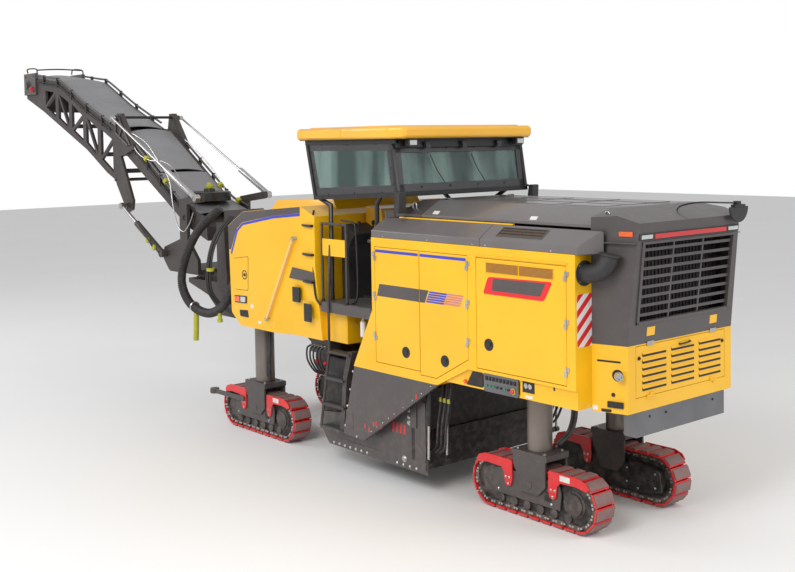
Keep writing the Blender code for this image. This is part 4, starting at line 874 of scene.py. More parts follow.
def rear_panel_trim():
    """Louvre hoods, latches and handle, coupling, sockets and labels of the yellow rear."""
    hoods, gaps, dark, silver = Shape(), Shape(), Shape(), Shape()
    for column in range(3):
        low = -0.70 + column * 0.485
        for row in range(6):
            z = 1.66 + row * 0.07
            ring = [
                (REAR_X - 0.001, z + 0.034), (REAR_X - 0.018, z + 0.018), (REAR_X - 0.014, z + 0.012),
                (REAR_X + 0.002, z + 0.026)
            ]
            hoods.loft([[(x, y, h) for x, h in ring] for y in (low - 0.004, low + 0.404)])
            gaps.box((REAR_X - 0.0025, REAR_X + 0.002), (low + 0.002, low + 0.398), (z - 0.014, z + 0.016))
    place("louvre_gaps", gaps, "rear_door", DEEP, 0)
    place("louvre_hoods", hoods, "rear_door", YELLOW, 0.0015, "yellow_paint")
    latches = Shape()
    for y in (0.725, -0.725):
        latches.turned(
            (REAR_X, y, 1.99), (REAR_X - 1, y, 1.99),
            ((0, 0.020), (0.008, 0.020), (0.010, 0.016), (0.010, 0.008), (0.022, 0.007)), 16
        )
    latches.pipe(
        [
            (REAR_X, -0.13, 2.065), (REAR_X - 0.025, -0.11, 2.062), (REAR_X - 0.025, 0.03, 2.055),
            (REAR_X, 0.05, 2.055)
        ], 0.009, 10, 6
    )
    place("louvre_latches", latches, "rear_door", BLACK, 0, "black_plastic")

    def corner(share, lift, z):
        """A point on the left rear corner panel, which runs aslant from the box to the rear face."""
        x = BOX_REAR_X + (REAR_X - BOX_REAR_X) * share
        y = 1.0 - 0.10 * share
        normal = Vector((-0.254, 0.967, 0.0))
        return Vector((x, y, z)) + normal * lift

    dark.loft(
        [
            [
                corner(0.15, -0.002, z), corner(0.80, -0.002, z), corner(0.80, 0.003, z),
                corner(0.15, 0.003, z)
            ] for z in (1.955, 1.975)
        ]
    )
    foot = corner(0.72, 0.0, 1.83)
    way = Vector((-0.254, 0.967, 0.0))
    dark.turned(foot, foot + way, ((0, 0.060), (0.004, 0.060), (0.004, 0.046), (0.002, 0.002)), 28)
    silver.turned(
        foot, foot + Vector((-0.75, 0.66, 0)).normalized(),
        (
            (0, 0.036), (0.030, 0.036), (0.032, 0.044), (0.055, 0.044), (0.058, 0.034), (0.075, 0.034),
            (0.078, 0.040), (0.100, 0.038), (0.100, 0.028), (0.070, 0.022)
        ), 24
    )
    spot = corner(0.60, 0.0, 1.63)
    dark.turned(spot, spot + way, ((0, 0.020), (0.012, 0.020), (0.014, 0.014)), 16)
    dark.loft(
        [
            [
                corner(0.45, -0.002, z), corner(0.88, -0.002, z), corner(0.88, 0.022, z),
                corner(0.45, 0.022, z)
            ] for z in (1.50, 1.56)
        ]
    )
    dark.loft(
        [
            [
                corner(0.25, -0.002, z), corner(0.55, -0.002, z), corner(0.50, 0.012, z),
                corner(0.30, 0.012, z)
            ] for z in (1.448, 1.475)
        ]
    )
    label = Shape()
    label.loft(
        [
            [
                corner(0.02, -0.001, z), corner(0.16, -0.001, z), corner(0.16, 0.0015, z),
                corner(0.02, 0.0015, z)
            ] for z in (1.455, 1.50)
        ]
    )
    place("rear_corner_fittings", dark, "machine", DEEP, 0.001, "black_plastic")
    place("rear_coupling", silver, "machine", STEEL, 0, "bare_steel")
    place("rear_corner_label", label, "machine", WHITE, 0)
    bolts = Shape()
    for y in (-0.55, 0.28, 0.55):
        bolts.bolt((REAR_X, y, 1.37), (-1, 0, 0), 0.010, 0.008)
    place("bumper_bolts", bolts, "machine", DEEP, 0)


def mirror():
    """Half-disc mirror on a bent stalk over the rear edge of the hood."""
    stalk, glass_disc, clamp = Shape(), Shape(), Shape()
    stalk.pipe(
        [
            (-3.66, -0.10, 3.44), (-3.70, -0.14, 3.49), (-3.80, -0.30, 3.52), (-3.92, -0.55, 3.51),
            (-3.97, -0.74, 3.50)
        ], 0.009, 10, 8
    )
    half = [
        (0.17 * math.cos(math.pi + a * math.pi / 16), 0.17 * math.sin(math.pi + a * math.pi / 16))
        for a in range(17)
    ]
    outline = [(-0.76 + u, 3.46 + v) for u, v in half]
    glass_disc.loft([[(-4.00 + lift, y, z) for y, z in outline] for lift in (0.0, 0.025)])
    clamp.box((-4.01, -3.955), (-0.86, -0.66), (3.455, 3.485))
    clamp.box((-3.995, -3.945), (-0.80, -0.72), (3.475, 3.52))
    place("mirror_stalk", stalk, "machine", BLACK, 0, "black_plastic")
    place("mirror_head", glass_disc, "machine", PLASTIC, 0.006, "black_plastic")
    place("mirror_clamp", clamp, "machine", BLACK, 0.004, "black_plastic")


def intake():
    """A duct in place of the air intake elbow, with flanges, clamp and bolts."""
    bends = Shape()
    bends.pipe(
        [
            (-3.42, 1.11, 2.86), (-3.52, 1.11, 2.86), (-3.62, 1.085, 2.90), (-3.67, 1.05, 2.98),
            (-3.69, 1.03, 3.06)
        ], 0.093, 24, 8
    )
    bends.turned(
        (-3.421, 1.11, 2.86), (-4.0, 1.11, 2.86),
        ((0, 0.130), (0.012, 0.130), (0.014, 0.100), (0.030, 0.098)), 28
    )
    bends.turned(
        (-3.687, 1.033, 3.04), (-3.70, 1.02, 3.14),
        ((0, 0.096), (0.004, 0.110), (0.022, 0.110), (0.026, 0.090)), 28
    )
    piece = place("intake_duct", bends, "machine", PLASTIC, 0, "black_plastic")
    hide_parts("intake_elbow")
    steel = Shape()
    for k in range(4):
        a = math.pi / 4 + k * math.pi / 2
        steel.bolt((-3.434, 1.11 + 0.115 * math.cos(a), 2.86 + 0.115 * math.sin(a)), (-1, 0, 0), 0.006, 0.005)
    place("intake_bolts", steel, "machine", STEEL, 0, "bare_steel")


# ---------------------------------------------------------------- front body
def front_trim():
    """Border, line, access panel, lamps, grab bar and steps of the front body's sides."""
    for side_name, side in SIDES:
        border, line, seam, dark, band = Shape(), Shape(), Shape(), Shape(), Shape()
        edge = [(3.113, 2.70), (3.118, 3.035), (2.72, 3.255), (2.0, 3.318), (1.32, 3.374)]
        inside = [(1.32, 3.290), (1.95, 3.232), (2.74, 3.105), (2.885, 3.010), (3.055, 2.70)]
        for i in range(4):
            quad = [edge[i], edge[i + 1], inside[3 - i], inside[4 - i]]
            patch(border, side, quad)
        route = [(3.048, 2.64), (2.875, 2.985), (2.73, 3.082), (1.95, 3.212), (1.32, 3.270)]
        patch(line, side, ribbon(route, 0.036), DECAL * 1.2)
        patch(band, side, [(1.60, 2.41), (1.52, 2.56), (1.03, 2.525), (1.03, 2.385)])
        panel = rounded([(2.62, 2.14), (2.955, 2.13), (2.99, 2.58), (2.60, 2.63)], 0.03)
        patch(seam, side, panel, 0.0008)
        face = Shape()
        inside = rounded([(2.626, 2.147), (2.949, 2.137), (2.983, 2.574), (2.606, 2.623)], 0.027)
        patch(face, side, inside, 0.006)
        lamp_back, orange, grey = Shape(), Shape(), Shape()
        case = rounded([(2.66, 1.955), (2.965, 1.945), (2.975, 2.045), (2.66, 2.06)], 0.015)
        patch(lamp_back, side, case, 0.014)
        patch(
            orange, side, rounded([(2.82, 1.965), (2.95, 1.96), (2.958, 2.035), (2.825, 2.04)], 0.01),
            0.026
        )
        patch(grey, side, rounded([(2.68, 1.97), (2.80, 1.965), (2.805, 2.04), (2.68, 2.045)], 0.01), 0.022)
        patch(dark, side, rounded([(2.62, 1.755), (2.84, 1.755), (2.86, 1.845), (2.64, 1.86)], 0.012), 0.003)
        latch(dark, 2.70, 2.36, side)
        label = Shape()
        patch(label, side, [(2.50, 1.90), (2.57, 1.90), (2.57, 1.95), (2.50, 1.95)])
        patch(label, side, [(2.30, 1.70), (2.38, 1.70), (2.38, 1.74), (2.30, 1.74)])
        tag = "front_%s_" % side_name
        place(tag + "border", border, "machine", CHARCOAL, 0)
        place(tag + "line", line, "machine", BLUE, 0)
        place(tag + "band", band, "machine", CHARCOAL, 0)
        place(tag + "seam", seam, "machine", DEEP, 0)
        place(tag + "panel", face, "machine", YELLOW, 0.002, "yellow_paint")
        place(tag + "lamp_case", lamp_back, "machine", PLASTIC, 0.003, "black_plastic")
        place(tag + "lamp_orange", orange, "machine", ORANGE_LENS, 0.004)
        place(tag + "lamp_grey", grey, "machine", CLEAR_LENS, 0.004)
        place(tag + "openings", dark, "machine", DEEP, 0.001, "black_plastic")
        place(tag + "labels", label, "machine", WHITE, 0)
        bar, ends = Shape(), Shape()
        high, low = Vector((1.43, side * 1.30, 2.95)), Vector((2.10, side * 1.30, 1.80))
        bar.pipe([high, high.lerp(low, 0.5), low], 0.019, 16, 6)
        for point in (high, low):
            inner_point = Vector((point.x, side * 1.245, point.z))
            if point.z < 2.0:
                inner_point.y = side * 1.16
            ends.turned(
                inner_point, point,
                ((0, 0.030), (0.008, 0.030), (0.010, 0.014), ((point - inner_point).length, 0.014)), 14
            )
            ends.turned(
                point + (high - low).normalized() * -0.022, point + (high - low).normalized(),
                ((0, 0.022), (0.002, 0.025), (0.042, 0.025), (0.044, 0.022)), 18
            )
        place(tag + "grab_bar", bar, "machine", TUBE, 0, "yellow_paint")
        place(tag + "grab_ends", ends, "machine", STEEL, 0, "bare_steel")
        steps = Shape()
        for z in (3.12, 2.74, 2.38):
            plan = [(1.02, 1.245), (1.30, 1.245), (1.26, 1.262), (1.12, 1.30), (1.02, 1.30)]
            steps.prism("z", [(x, side * y) for x, y in plan], z, z + 0.030)
        place(tag + "steps", steps, "machine", BLACK, 0.004, "black_paint")
        boxes = Shape()
        boxes.box((1.34, 1.50), across(side, 1.246, 1.275), (2.10, 2.30))
        boxes.box((1.10, 1.26), across(side, 1.246, 1.262), (1.86, 2.10))
        for k in range(4):
            boxes.box((1.12, 1.24), across(side, 1.26, 1.268), (1.89 + k * 0.05, 1.905 + k * 0.05))
        place(tag + "boxes", boxes, "machine", BLACK, 0.004, "black_plastic")
    nose_trim()
    valves()


def nose_trim():
    """Lamps in their bezels and a grille on the front face of the front body."""
    vent, lamps, bezel = Shape(), Shape(), Shape()
    for k in range(9):
        z = 2.05 + k * 0.075
        vent.loft(
            [
                [(3.085, y, z), (3.125, y, z - 0.012), (3.125, y, z + 0.006), (3.085, y, z + 0.03)]
                for y in (-0.56, 0.56)
            ]
        )
    for y in (0.86, -0.86):
        bezel.turned(
            (3.07, y, 2.52), (4.0, y, 2.52),
            ((0, 0.085), (0.045, 0.085), (0.048, 0.070), (0.035, 0.068), (0.035, 0.001)), 26
        )
        lamps.turned(
            (3.10, y, 2.52), (4.0, y, 2.52),
            ((0, 0.066), (0.010, 0.062), (0.020, 0.045), (0.024, 0.01)), 26
        )
    place("nose_vent", vent, "machine", CHARCOAL, 0.002, "charcoal_paint")
    place("nose_lamps", lamps, "machine", CLEAR_LENS, 0)
    place("nose_bezels", bezel, "machine", BLACK, 0, "black_plastic")


def valves():
    """Valve block with bright fittings under the front body, and its hoses."""
    for side_name, side in SIDES:
        block, fittings, red, hoses = Shape(), Shape(), Shape(), Shape()
        block.box((1.05, 1.45), across(side, 0.82, 1.02), (1.40, 1.60))
        block.box((1.10, 1.40), across(side, 0.86, 0.98), (1.18, 1.41))
        for i in range(5):
            x = 1.10 + i * 0.075
            fittings.turned(
                (x, side * 1.02, 1.50), (x, side * 2, 1.50),
                ((0, 0.022), (0.03, 0.022), (0.032, 0.016), (0.05, 0.016)), 6
            )
            hoses.pipe(
                [
                    (x, side * 1.06, 1.50), (x, side * 1.12, 1.46), (x + 0.02, side * 1.10, 1.30),
                    (x + 0.05, side * 0.96, 1.12), (x + 0.10, side * 0.78, 1.05)
                ], 0.013, 10, 6
            )
        for x in (1.14, 1.34):
            red.turned(
                (x, side * 0.98, 1.28), (x, side * 2, 1.28), ((0, 0.028), (0.05, 0.028), (0.055, 0.02)),
                16
            )
        place("valve_block_" + side_name, block, "machine", CAST, 0.006, "cast_iron")
        place("valve_fittings_" + side_name, fittings, "machine", STEEL, 0)
        place("valve_caps_" + side_name, red, "machine", RED, 0.002)
        place("valve_hoses_" + side_name, hoses, "machine", RUBBER, 0)


# ---------------------------------------------------------------- hoses ahead of the front body
def suction_hoses():
    """Ribbed dust hose, lay-flat hose and cable bundle on the left of the conveyor."""
    big = Shape()
    route = [
        (4.30, 0.66, 3.22), (4.62, 0.88, 2.86), (4.84, 1.00, 2.40), (4.86, 1.05, 2.02),
        (4.60, 1.05, 1.73), (4.09, 1.05, 1.64), (3.64, 1.05, 1.80), (3.44, 1.00, 2.10),
        (3.36, 0.94, 2.30), (3.16, 0.90, 2.40), (3.05, 0.90, 2.42)
    ]
    big.pipe(route, 0.062, 18, 10, 0.008, 0.028)
    place("dust_hose", big, "machine", RUBBER, 0)
    clamps = Shape()
    clamps.turned((3.118, 0.90, 2.41), (3.0, 0.90, 2.42), ((0, 0.078), (0.03, 0.078)), 24)
    clamps.turned((4.50, 1.05, 1.705), (4.40, 1.05, 1.685), ((0, 0.082), (0.035, 0.082)), 24)
    place("hose_clamps", clamps, "machine", STEEL, 0.002)
    bundle = Shape()
    for k, (dx, dy) in enumerate(((0, 0), (0.035, 0.01), (0.01, 0.036), (-0.03, 0.02), (0.04, 0.045))):
        bundle.pipe(
            [
                (4.10 + dx, 0.55 + dy, 3.10), (4.14 + dx, 0.80 + dy, 2.80),
                (4.17 + dx, 0.92 + dy, 2.40), (4.20 + dx, 0.90 + dy, 1.95),
                (4.05 + dx, 0.70 + dy, 1.66), (3.60 + dx, 0.52 + dy, 1.56),
                (3.00 + dx, 0.48 + dy, 1.74 + 0.03 * k)
            ], 0.015, 10, 8
        )
    place("cable_bundle", bundle, "machine", RUBBER, 0)
    lime = Shape()
    lime.turned((4.175, 0.935, 2.32), (4.18, 0.932, 2.22), ((0, 0.062), (0.05, 0.062)), 16)
    lime.turned(
        (3.74, 1.05, 1.69), (3.74, 1.05, 1.50),
        ((0, 0.030), (0.10, 0.030), (0.102, 0.042), (0.15, 0.042)), 16
    )
    place("lime_clamps", lime, "machine", LIME, 0.002)
    flat = Shape()
    flat.pipe(
        [(4.43, 1.05, 1.67), (4.435, 1.055, 1.50), (4.435, 1.06, 1.34), (4.45, 1.06, 1.18)], 0.042, 16,
        8
    )
    place("lay_flat_hose", flat, "machine", LIME, 0)


# ---------------------------------------------------------------- tracks
def tracks():
    """Shoes, chain, rollers, drive hub, guards and motor cover of the four crawlers."""
    for end, axle_x, track_y in (("front", 2.84, 0.85), ("rear", -2.40, 0.68)):
        for side_name, side in SIDES:
            name = "%s_%s" % (end, side_name)
            middle = side * track_y
            shoes(name, axle_x, middle)
            yoke(name, axle_x, middle, side)
            chain(name, axle_x, middle)
            body = "track_" + name
            rollers, guards, bolts, cover, plate = Shape(), Shape(), Shape(), Shape(), Shape()
            for k in range(6):
                x = axle_x - 0.52 + k * 0.20
                low, high = sorted((middle + side * 0.10, middle + side * 0.142))
                rollers.turned(
                    (x, low, 0.150), (x, high, 0.150),
                    ((0, 0.045), (0.006, 0.052), (high - low - 0.006, 0.052), (high - low, 0.045)), 20
                )
            hub(rollers, (axle_x - 0.60, middle + side * 0.10, 0.31), (0, side, 0), 0.15)
            idler = (axle_x + 0.62, middle + side * 0.10, 0.31)
            rollers.turned(
                idler, (idler[0], middle + side * 2, idler[2]),
                ((0, 0.17), (0.012, 0.17), (0.02, 0.14), (0.012, 0.12), (0.03, 0.06), (0.034, 0.02)), 28
            )
            outline = [
                (-0.42, 0.205), (0.56, 0.205), (0.60, 0.26), (0.56, 0.47), (0.50, 0.50), (-0.40, 0.50),
                (-0.44, 0.40)
            ]
            plate.prism(
                "y", [(axle_x + x, z) for x, z in outline], middle + side * 0.13, middle + side * 0.151
            )
            for x, z in ((0.0, 0.36), (-0.30, 0.25), (0.50, 0.25), (0.30, 0.44)):
                bolts.bolt((axle_x + x, middle + side * 0.151, z), (0, side, 0), 0.011, 0.009)
            slot_mark = Shape()
            slot_mark.box(
                (axle_x - 0.30, axle_x - 0.20), across(side, abs(middle) + 0.150, abs(middle) + 0.153),
                (0.27, 0.38)
            )
            for face in (1, -1):
                for way in (1, -1):
                    if face * side < 0 and way < 0:
                        continue
                    outline = [
                        (0.27, 0.40), (0.29, 0.33), (0.34, 0.31), (0.38, 0.34), (0.40, 0.47),
                        (0.44, 0.515), (0.66, 0.525), (0.80, 0.50), (0.84, 0.53), (0.80, 0.59),
                        (0.70, 0.625), (0.29, 0.625), (0.27, 0.60)
                    ]
                    outline = [(axle_x + way * x, z) for x, z in outline]
                    guards.prism("y", outline, middle + face * 0.152, middle + face * 0.172)
                    for x, z in ((0.335, 0.345), (0.315, 0.42), (0.37, 0.42)):
                        bolts.bolt((axle_x + way * x, middle + face * 0.172, z), (0, face, 0), 0.010, 0.008)
            label = Shape()
            label.box(
                (axle_x - 0.58, axle_x - 0.44),
                across(side, abs(middle) + 0.1715, abs(middle) + 0.1735), (0.545, 0.605)
            )
            inner = rounded(
                [
                    (-0.80, 0.20), (-0.42, 0.14), (-0.24, 0.20), (-0.24, 0.44), (-0.42, 0.50),
                    (-0.76, 0.44)
                ], 0.05
            )
            inner = [(axle_x + x, z) for x, z in inner]
            cover.prism("y", inner, middle - side * 0.12, middle - side * 0.215)
            for x, z in ((-0.70, 0.24), (-0.46, 0.19), (-0.30, 0.24), (-0.30, 0.40), (-0.70, 0.40)):
                bolts.bolt((axle_x + x, middle - side * 0.215, z), (0, -side, 0), 0.009, 0.008)
            place("rollers_" + name, rollers, body, CAST, 0, "cast_iron")
            place("track_plate_" + name, plate, body, YOKE, 0.004, "frame_paint")
            place("track_slot_" + name, slot_mark, body, DEEP, 0)
            place("track_label_" + name, label, body, WHITE, 0)
            place("track_motor_" + name, cover, body, BLACK, 0.012, "black_paint")
            place("track_guards_" + name, guards, body, RED, 0.004)
            place("track_bolts_" + name, bolts, body, STEEL, 0, "bare_steel")


def shoes(name, axle_x, middle):
    """Steel shoes with a rubber pad on each, right round the track."""
    steel, rubber = Shape(), Shape()
    radius, half, count = 0.305, 0.63, 26
    around = 4 * half + 2 * math.pi * radius
    for k in range(count):
        point, turn = track_point(around * (k + 0.5) / count, half, radius)
        along = Vector((math.cos(turn), 0, math.sin(turn)))
        out = Vector((point[0] - max(-half, min(half, point[0])), 0, point[1])).normalized()
        centre = Vector((axle_x + point[0], 0, 0.31 + point[1]))
        for shape, long, low, high, wide in (
            (steel, 0.073, -0.036, -0.014, 0.150), (rubber, 0.060, -0.016, 0.004, 0.138)
        ):
            ring = [
                (-long, low), (long, low), (long, high - 0.006), (long - 0.012, high),
                (-long + 0.012, high), (-long, high - 0.006)
            ]
            points = [centre + along * a + out * b for a, b in ring]
            shape.loft([[(p.x, middle + d, p.z) for p in points] for d in (-wide, wide)])
    piece = place("shoes_" + name, steel, "track_" + name, RED, 0.002, "track_shoe")
    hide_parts("track_" + name)
    place("pads_" + name, rubber, "track_" + name, PAD, 0.003, "track_shoe")


def yoke(name, axle_x, middle, side):
    """The frame inside a track, its yoke plates and, at the front, the guide arm."""
    frame_core, plates, arm = Shape(), Shape(), Shape()
    oval = []
    for way in (1, -1):
        for k in range(13):
            a = -math.pi / 2 + math.pi * k / 12
            oval.append((axle_x + way * (0.63 + 0.236 * math.cos(a)), 0.31 + way * 0.236 * math.sin(a)))
    frame_core.prism("y", oval, middle - 0.112, middle + 0.112)
    plates.box((axle_x - 0.26, axle_x + 0.26), (middle - 0.186, middle + 0.186), (0.70, 0.77))
    outline = [
        (-0.24, 0.705), (0.24, 0.705), (0.24, 0.60), (0.13, 0.40), (0.13, 0.31), (-0.13, 0.31),
        (-0.24, 0.42)
    ]
    for reach in (-1, 1):
        cheek = sorted((middle + reach * 0.156, middle + reach * 0.186))
        plates.prism("y", [(axle_x + x, z) for x, z in outline], *cheek)
    plates.rod((axle_x, middle - 0.196, 0.40), (axle_x, middle + 0.196, 0.40), 0.045, 20)
    for x, y in ((-0.20, -0.14), (0.20, -0.14), (-0.20, 0.14), (0.20, 0.14)):
        arm.bolt((axle_x + x, middle + y, 0.77), (0, 0, 1), 0.016, 0.014)
    if axle_x > 0:
        bar = rounded([(0.30, 0.435), (0.30, 0.505), (1.12, 0.495), (1.12, 0.425)], 0.012)
        plates.prism("y", [(axle_x + x, z) for x, z in bar], middle + side * 0.173, middle + side * 0.197)
        eye = (axle_x + 1.15, middle + side * 0.171)
        plates.turned(
            (*eye, 0.42), (*eye, 1.0), ((0, 0.062), (0.008, 0.070), (0.072, 0.070), (0.080, 0.062)), 24
        )
    piece = place("yoke_" + name, plates, "track_" + name, YOKE, 0.006, "frame_paint")
    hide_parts("track_frame_" + name)
    place("track_core_" + name, frame_core, "track_" + name, DEEP, 0.006, "frame_paint")
    place("yoke_bolts_" + name, arm, "track_" + name, STEEL, 0, "bare_steel")


def chain(name, axle_x, middle):
    """Link plates and pins inside the shoes."""
    links, pins = Shape(), Shape()
    radius, half, count = 0.235, 0.63, 34
    around = 4 * half + 2 * math.pi * radius
    for k in range(count):
        point, turn = track_point(around * k / count, half, radius)
        along = Vector((math.cos(turn), 0, math.sin(turn)))
        out = Vector((point[0] - max(-half, min(half, point[0])), 0, point[1])).normalized()
        centre = Vector((axle_x + point[0], 0, 0.31 + point[1]))
        for y in (-0.115, 0.115):
            shape = [
                (-0.070, -0.022), (0.070, -0.022), (0.070, 0.022), (0.040, 0.040), (-0.040, 0.040),
                (-0.070, 0.022)
            ]
            ring = [centre + along * a + out * b for a, b in rounded(shape, 0.012, 2)]
            shift = 0.008 if k % 2 else -0.008
            links.loft([[(p.x, middle + y + shift + d, p.z) for p in ring] for d in (-0.011, 0.011)])
        for a in (-0.040, 0.040):
            spot = centre + along * a
            pins.turned(
                (spot.x, middle - 0.142, spot.z), (spot.x, middle, spot.z),
                ((0, 0.014), (0.005, 0.017), (0.279, 0.017), (0.284, 0.014)), 10
            )
    place("chain_" + name, links, "track_" + name, CHAIN, 0.002, "cast_iron")
    place("chain_pins_" + name, pins, "track_" + name, STEEL, 0, "bare_steel")


def track_point(distance, half, radius):
    """A place on the belt loop, and the direction of travel there."""
    straight = 2 * half
    arc = math.pi * radius
    if distance < straight:
        return (half - distance, radius), math.pi
    distance -= straight
    if distance < arc:
        a = distance / radius
        return (-half - radius * math.sin(a), radius * math.cos(a)), math.pi + a
    distance -= arc
    if distance < straight:
        return (-half + distance, -radius), 2 * math.pi
    a = (distance - straight) / radius
    return (half + radius * math.sin(a), -radius * math.cos(a)), a


def hub(shape, centre, facing, radius):
    """A drive hub: stepped cover with a ring of bolts."""
    centre, facing = Vector(centre), Vector(facing)
    shape.turned(
        centre, centre + facing,
        (
            (0, radius), (0.02, radius), (0.024, radius * 0.82), (0.045, radius * 0.8),
            (0.05, radius * 0.4), (0.052, radius * 0.35)
        ), 28
    )
    for k in range(10):
        a = 2 * math.pi * k / 10
        spot = centre + facing * 0.02 + Vector((math.cos(a), 0, math.sin(a))) * radius * 0.91
        shape.bolt(spot, facing, 0.008, 0.008)


# ---------------------------------------------------------------- milling housing
def milling_trim():
    """Bolts, marks, slots, lift cylinders and hoses round the milling housing."""
    for side_name, side in SIDES:
        heads, marks, plate_heads, plate_dark, plate_marks = Shape(), Shape(), Shape(), Shape(), Shape()
        facing = (0, side, 0)
        for x, z in ((0.235, 1.34), (0.30, 1.10), (0.36, 0.88), (0.42, 0.62), (0.18, 0.52)):
            heads.bolt((x, side * 1.25, z), facing, 0.010, 0.008)
        for share in (0.12, 0.2, 0.28, 0.36, 0.44, 0.56, 0.68, 0.80, 0.92):
            heads.bolt((0.05 - 1.39 * share, side * 1.25, 0.52 + 0.92 * share + 0.012), facing, 0.005, 0.005)
        edge = [(0.05, 0.49), (-1.34, 1.41)]
        lip = Shape()
        lip.prism("y", ribbon(edge, 0.016), side * 1.21, side * 1.262)
        flap = rounded([(0.24, 0.60), (0.40, 0.60), (0.38, 0.84), (0.26, 0.84)], 0.03)
        patch(lip, side, flap, 0.004)
        for x, z in ((-0.06, 0.62), (0.02, 0.65), (-0.15, 0.70), (-0.20, 0.72), (-0.30, 0.70), (-0.96, 1.18)):
            patch(marks, side, [(x, z), (x - 0.022, z + 0.01), (x - 0.022, z + 0.07), (x, z + 0.06)])
        face = side * 1.097
        for k in range(7):
            plate_heads.bolt((0.86 - k * 0.115, face, 0.285), facing, 0.013, 0.010)
        for k in range(4):
            plate_heads.bolt((-0.42 - k * 0.12, face, 0.285), facing, 0.013, 0.010)
            plate_heads.bolt((-0.655, face, 0.82 + k * 0.075), facing, 0.020, 0.014)
            patch(
                plate_marks, side, slant(-0.34 - k * 0.07, -0.37 - k * 0.07, 0.66, 0.78, -0.01), DECAL,
                lambda x, z: 1.097
            )
        plate_heads.bolt((-0.56, face, 0.36), facing, 0.028, 0.016)
        patch(
            plate_dark, side,
            rounded([(-0.70, 0.38), (-0.755, 0.38), (-0.755, 0.78), (-0.70, 0.78)], 0.02), 0.002,
            lambda x, z: 1.097
        )
        patch(
            plate_dark, side,
            rounded([(-0.15, 0.90), (-0.27, 0.90), (-0.27, 1.02), (-0.15, 1.02)], 0.03), 0.002,
            lambda x, z: 1.097
        )
        guide = Shape()
        guide.box((-0.80, -0.69), across(side, 1.09, 1.112), (0.78, 1.14))
        guide.box((-0.97, -0.90), across(side, 1.09, 1.115), (0.30, 1.12))
        rail = [(0.90, 0.33), (0.70, 0.36), (0.20, 0.36), (-0.10, 0.36)]
        guide.prism("y", ribbon(rail, 0.012), face, face + side * 0.006)
        plate = "side_plate_" + side_name
        place("skirt_bolts_" + side_name, heads, "machine", STEEL, 0, "bare_steel")
        place("skirt_lip_" + side_name, lip, "machine", CHARCOAL, 0.003, "charcoal_paint")
        place("skirt_marks_" + side_name, marks, "machine", RED, 0)
        place("plate_bolts_" + side_name, plate_heads, plate, STEEL, 0, "bare_steel")
        place("plate_slots_" + side_name, plate_dark, plate, DEEP, 0)
        place("plate_marks_" + side_name, plate_marks, plate, RED, 0)
        place("plate_guides_" + side_name, guide, plate, CHARCOAL, 0.004, "charcoal_paint")
        barrels, rods, hoses, lime = Shape(), Shape(), Shape(), Shape()
        for x, y, top, middle, foot in ((-1.06, 1.12, 1.36, 0.86, 0.42), (-1.16, 0.92, 1.42, 0.90, 0.46)):
            barrels.turned(
                (x, side * y, top), (x + 0.02, side * y, middle),
                ((0, 0.034), (0.01, 0.040), (top - middle - 0.03, 0.040), (top - middle, 0.030)), 18
            )
            barrels.turned(
                (x + 0.03, side * (y - 0.03), foot), (x + 0.03, side * (y + 1), foot),
                ((0, 0.035), (0.06, 0.035)), 16
            )
            rods.rod((x + 0.02, side * y, middle + 0.01), (x + 0.03, side * y, foot), 0.016)
        for k in range(3):
            x = -1.12 - 0.07 * k
            hoses.pipe(
                [
                    (x, side * 0.94, 1.44), (x - 0.03, side * 1.02, 1.15),
                    (x + 0.02, side * 1.03, 0.85), (x + 0.10, side * 0.98, 0.60),
                    (x + 0.24, side * 0.94, 0.50)
                ], 0.016, 10, 8
            )
            lime.turned(
                (x - 0.02, side * 1.016, 1.20), (x - 0.03, side * 1.022, 1.10),
                ((0, 0.022), (0.05, 0.022)), 10
            )
        place("lift_barrels_" + side_name, barrels, "machine", BLACK, 0.002, "black_paint")
        place("lift_rods_" + side_name, rods, "machine", STEEL, 0, "bare_steel")
        place("lift_hoses_" + side_name, hoses, "machine", RUBBER, 0)
        place("lift_ties_" + side_name, lime, "machine", LIME, 0)
        steps, stiles = Shape(), Shape()
        for z in (0.52, 0.83, 1.18):
            for k in range(5):
                y0 = 1.118 + k * 0.024
                steps.box((0.50, 0.95), across(side, y0, y0 + 0.012), (z - 0.001, z + 0.008))
        for x in (0.465, 0.985):
            stiles.pipe([(x, side * 1.17, 0.50), (x, side * 1.17, 1.50)], 0.012, 8, 0)
        place("step_grip_" + side_name, steps, "machine", GALVANISED, 0, "bare_steel")
        leg_hoses(side_name, side)


def leg_hoses(side_name, side):
    """Hydraulic hoses looped from the chassis down to each crawler's yoke."""
    front, rear = Shape(), Shape()
    for k in range(2):
        shift = k * 0.045
        low = [(2.66 - shift, side * 0.92, 0.86), (2.60 - shift, side * 0.96, 1.02)]
        high = [(2.57 - shift, side * 0.97, 1.34), (2.60 - shift, side * 0.93, 1.66)]
        front.pipe(low + high, 0.020, 12, 8)
        low = [(-2.58 - shift, side * 0.60, 0.86), (-2.68 - shift, side * 0.52, 1.00)]
        high = [(-2.72 - shift, side * 0.49, 1.25), (-2.64 - shift, side * 0.51, 1.52)]
        rear.pipe(low + high, 0.020, 12, 8)
    for end, shape, x in (("front", front, 2.62), ("rear", rear, -2.64)):
        leg = "leg_%s_%s" % (end, side_name)
        span = (leg, "machine", (x, side * 0.8, 0.90), (x, side * 0.8, 1.45))
        place("%s_leg_hoses_%s" % (end, side_name), shape, span, RUBBER, 0)


# ---------------------------------------------------------------- conveyor
LOWER_TOP = [(5.00, 3.02), (5.85, 3.26), (7.80, 4.47), (8.03, 4.52)]
UPPER_TOP = [(8.07, 4.50), (9.40, 5.00), (10.50, 5.50), (11.60, 5.64), (12.24, 5.71)]


def height_on(route, x):
    """Height of a polyline at a station."""
    for (x0, z0), (x1, z1) in zip(route, route[1:]):
        if x <= x1:
            break
    return z0 + (z1 - z0) * (x - x0) / (x1 - x0)


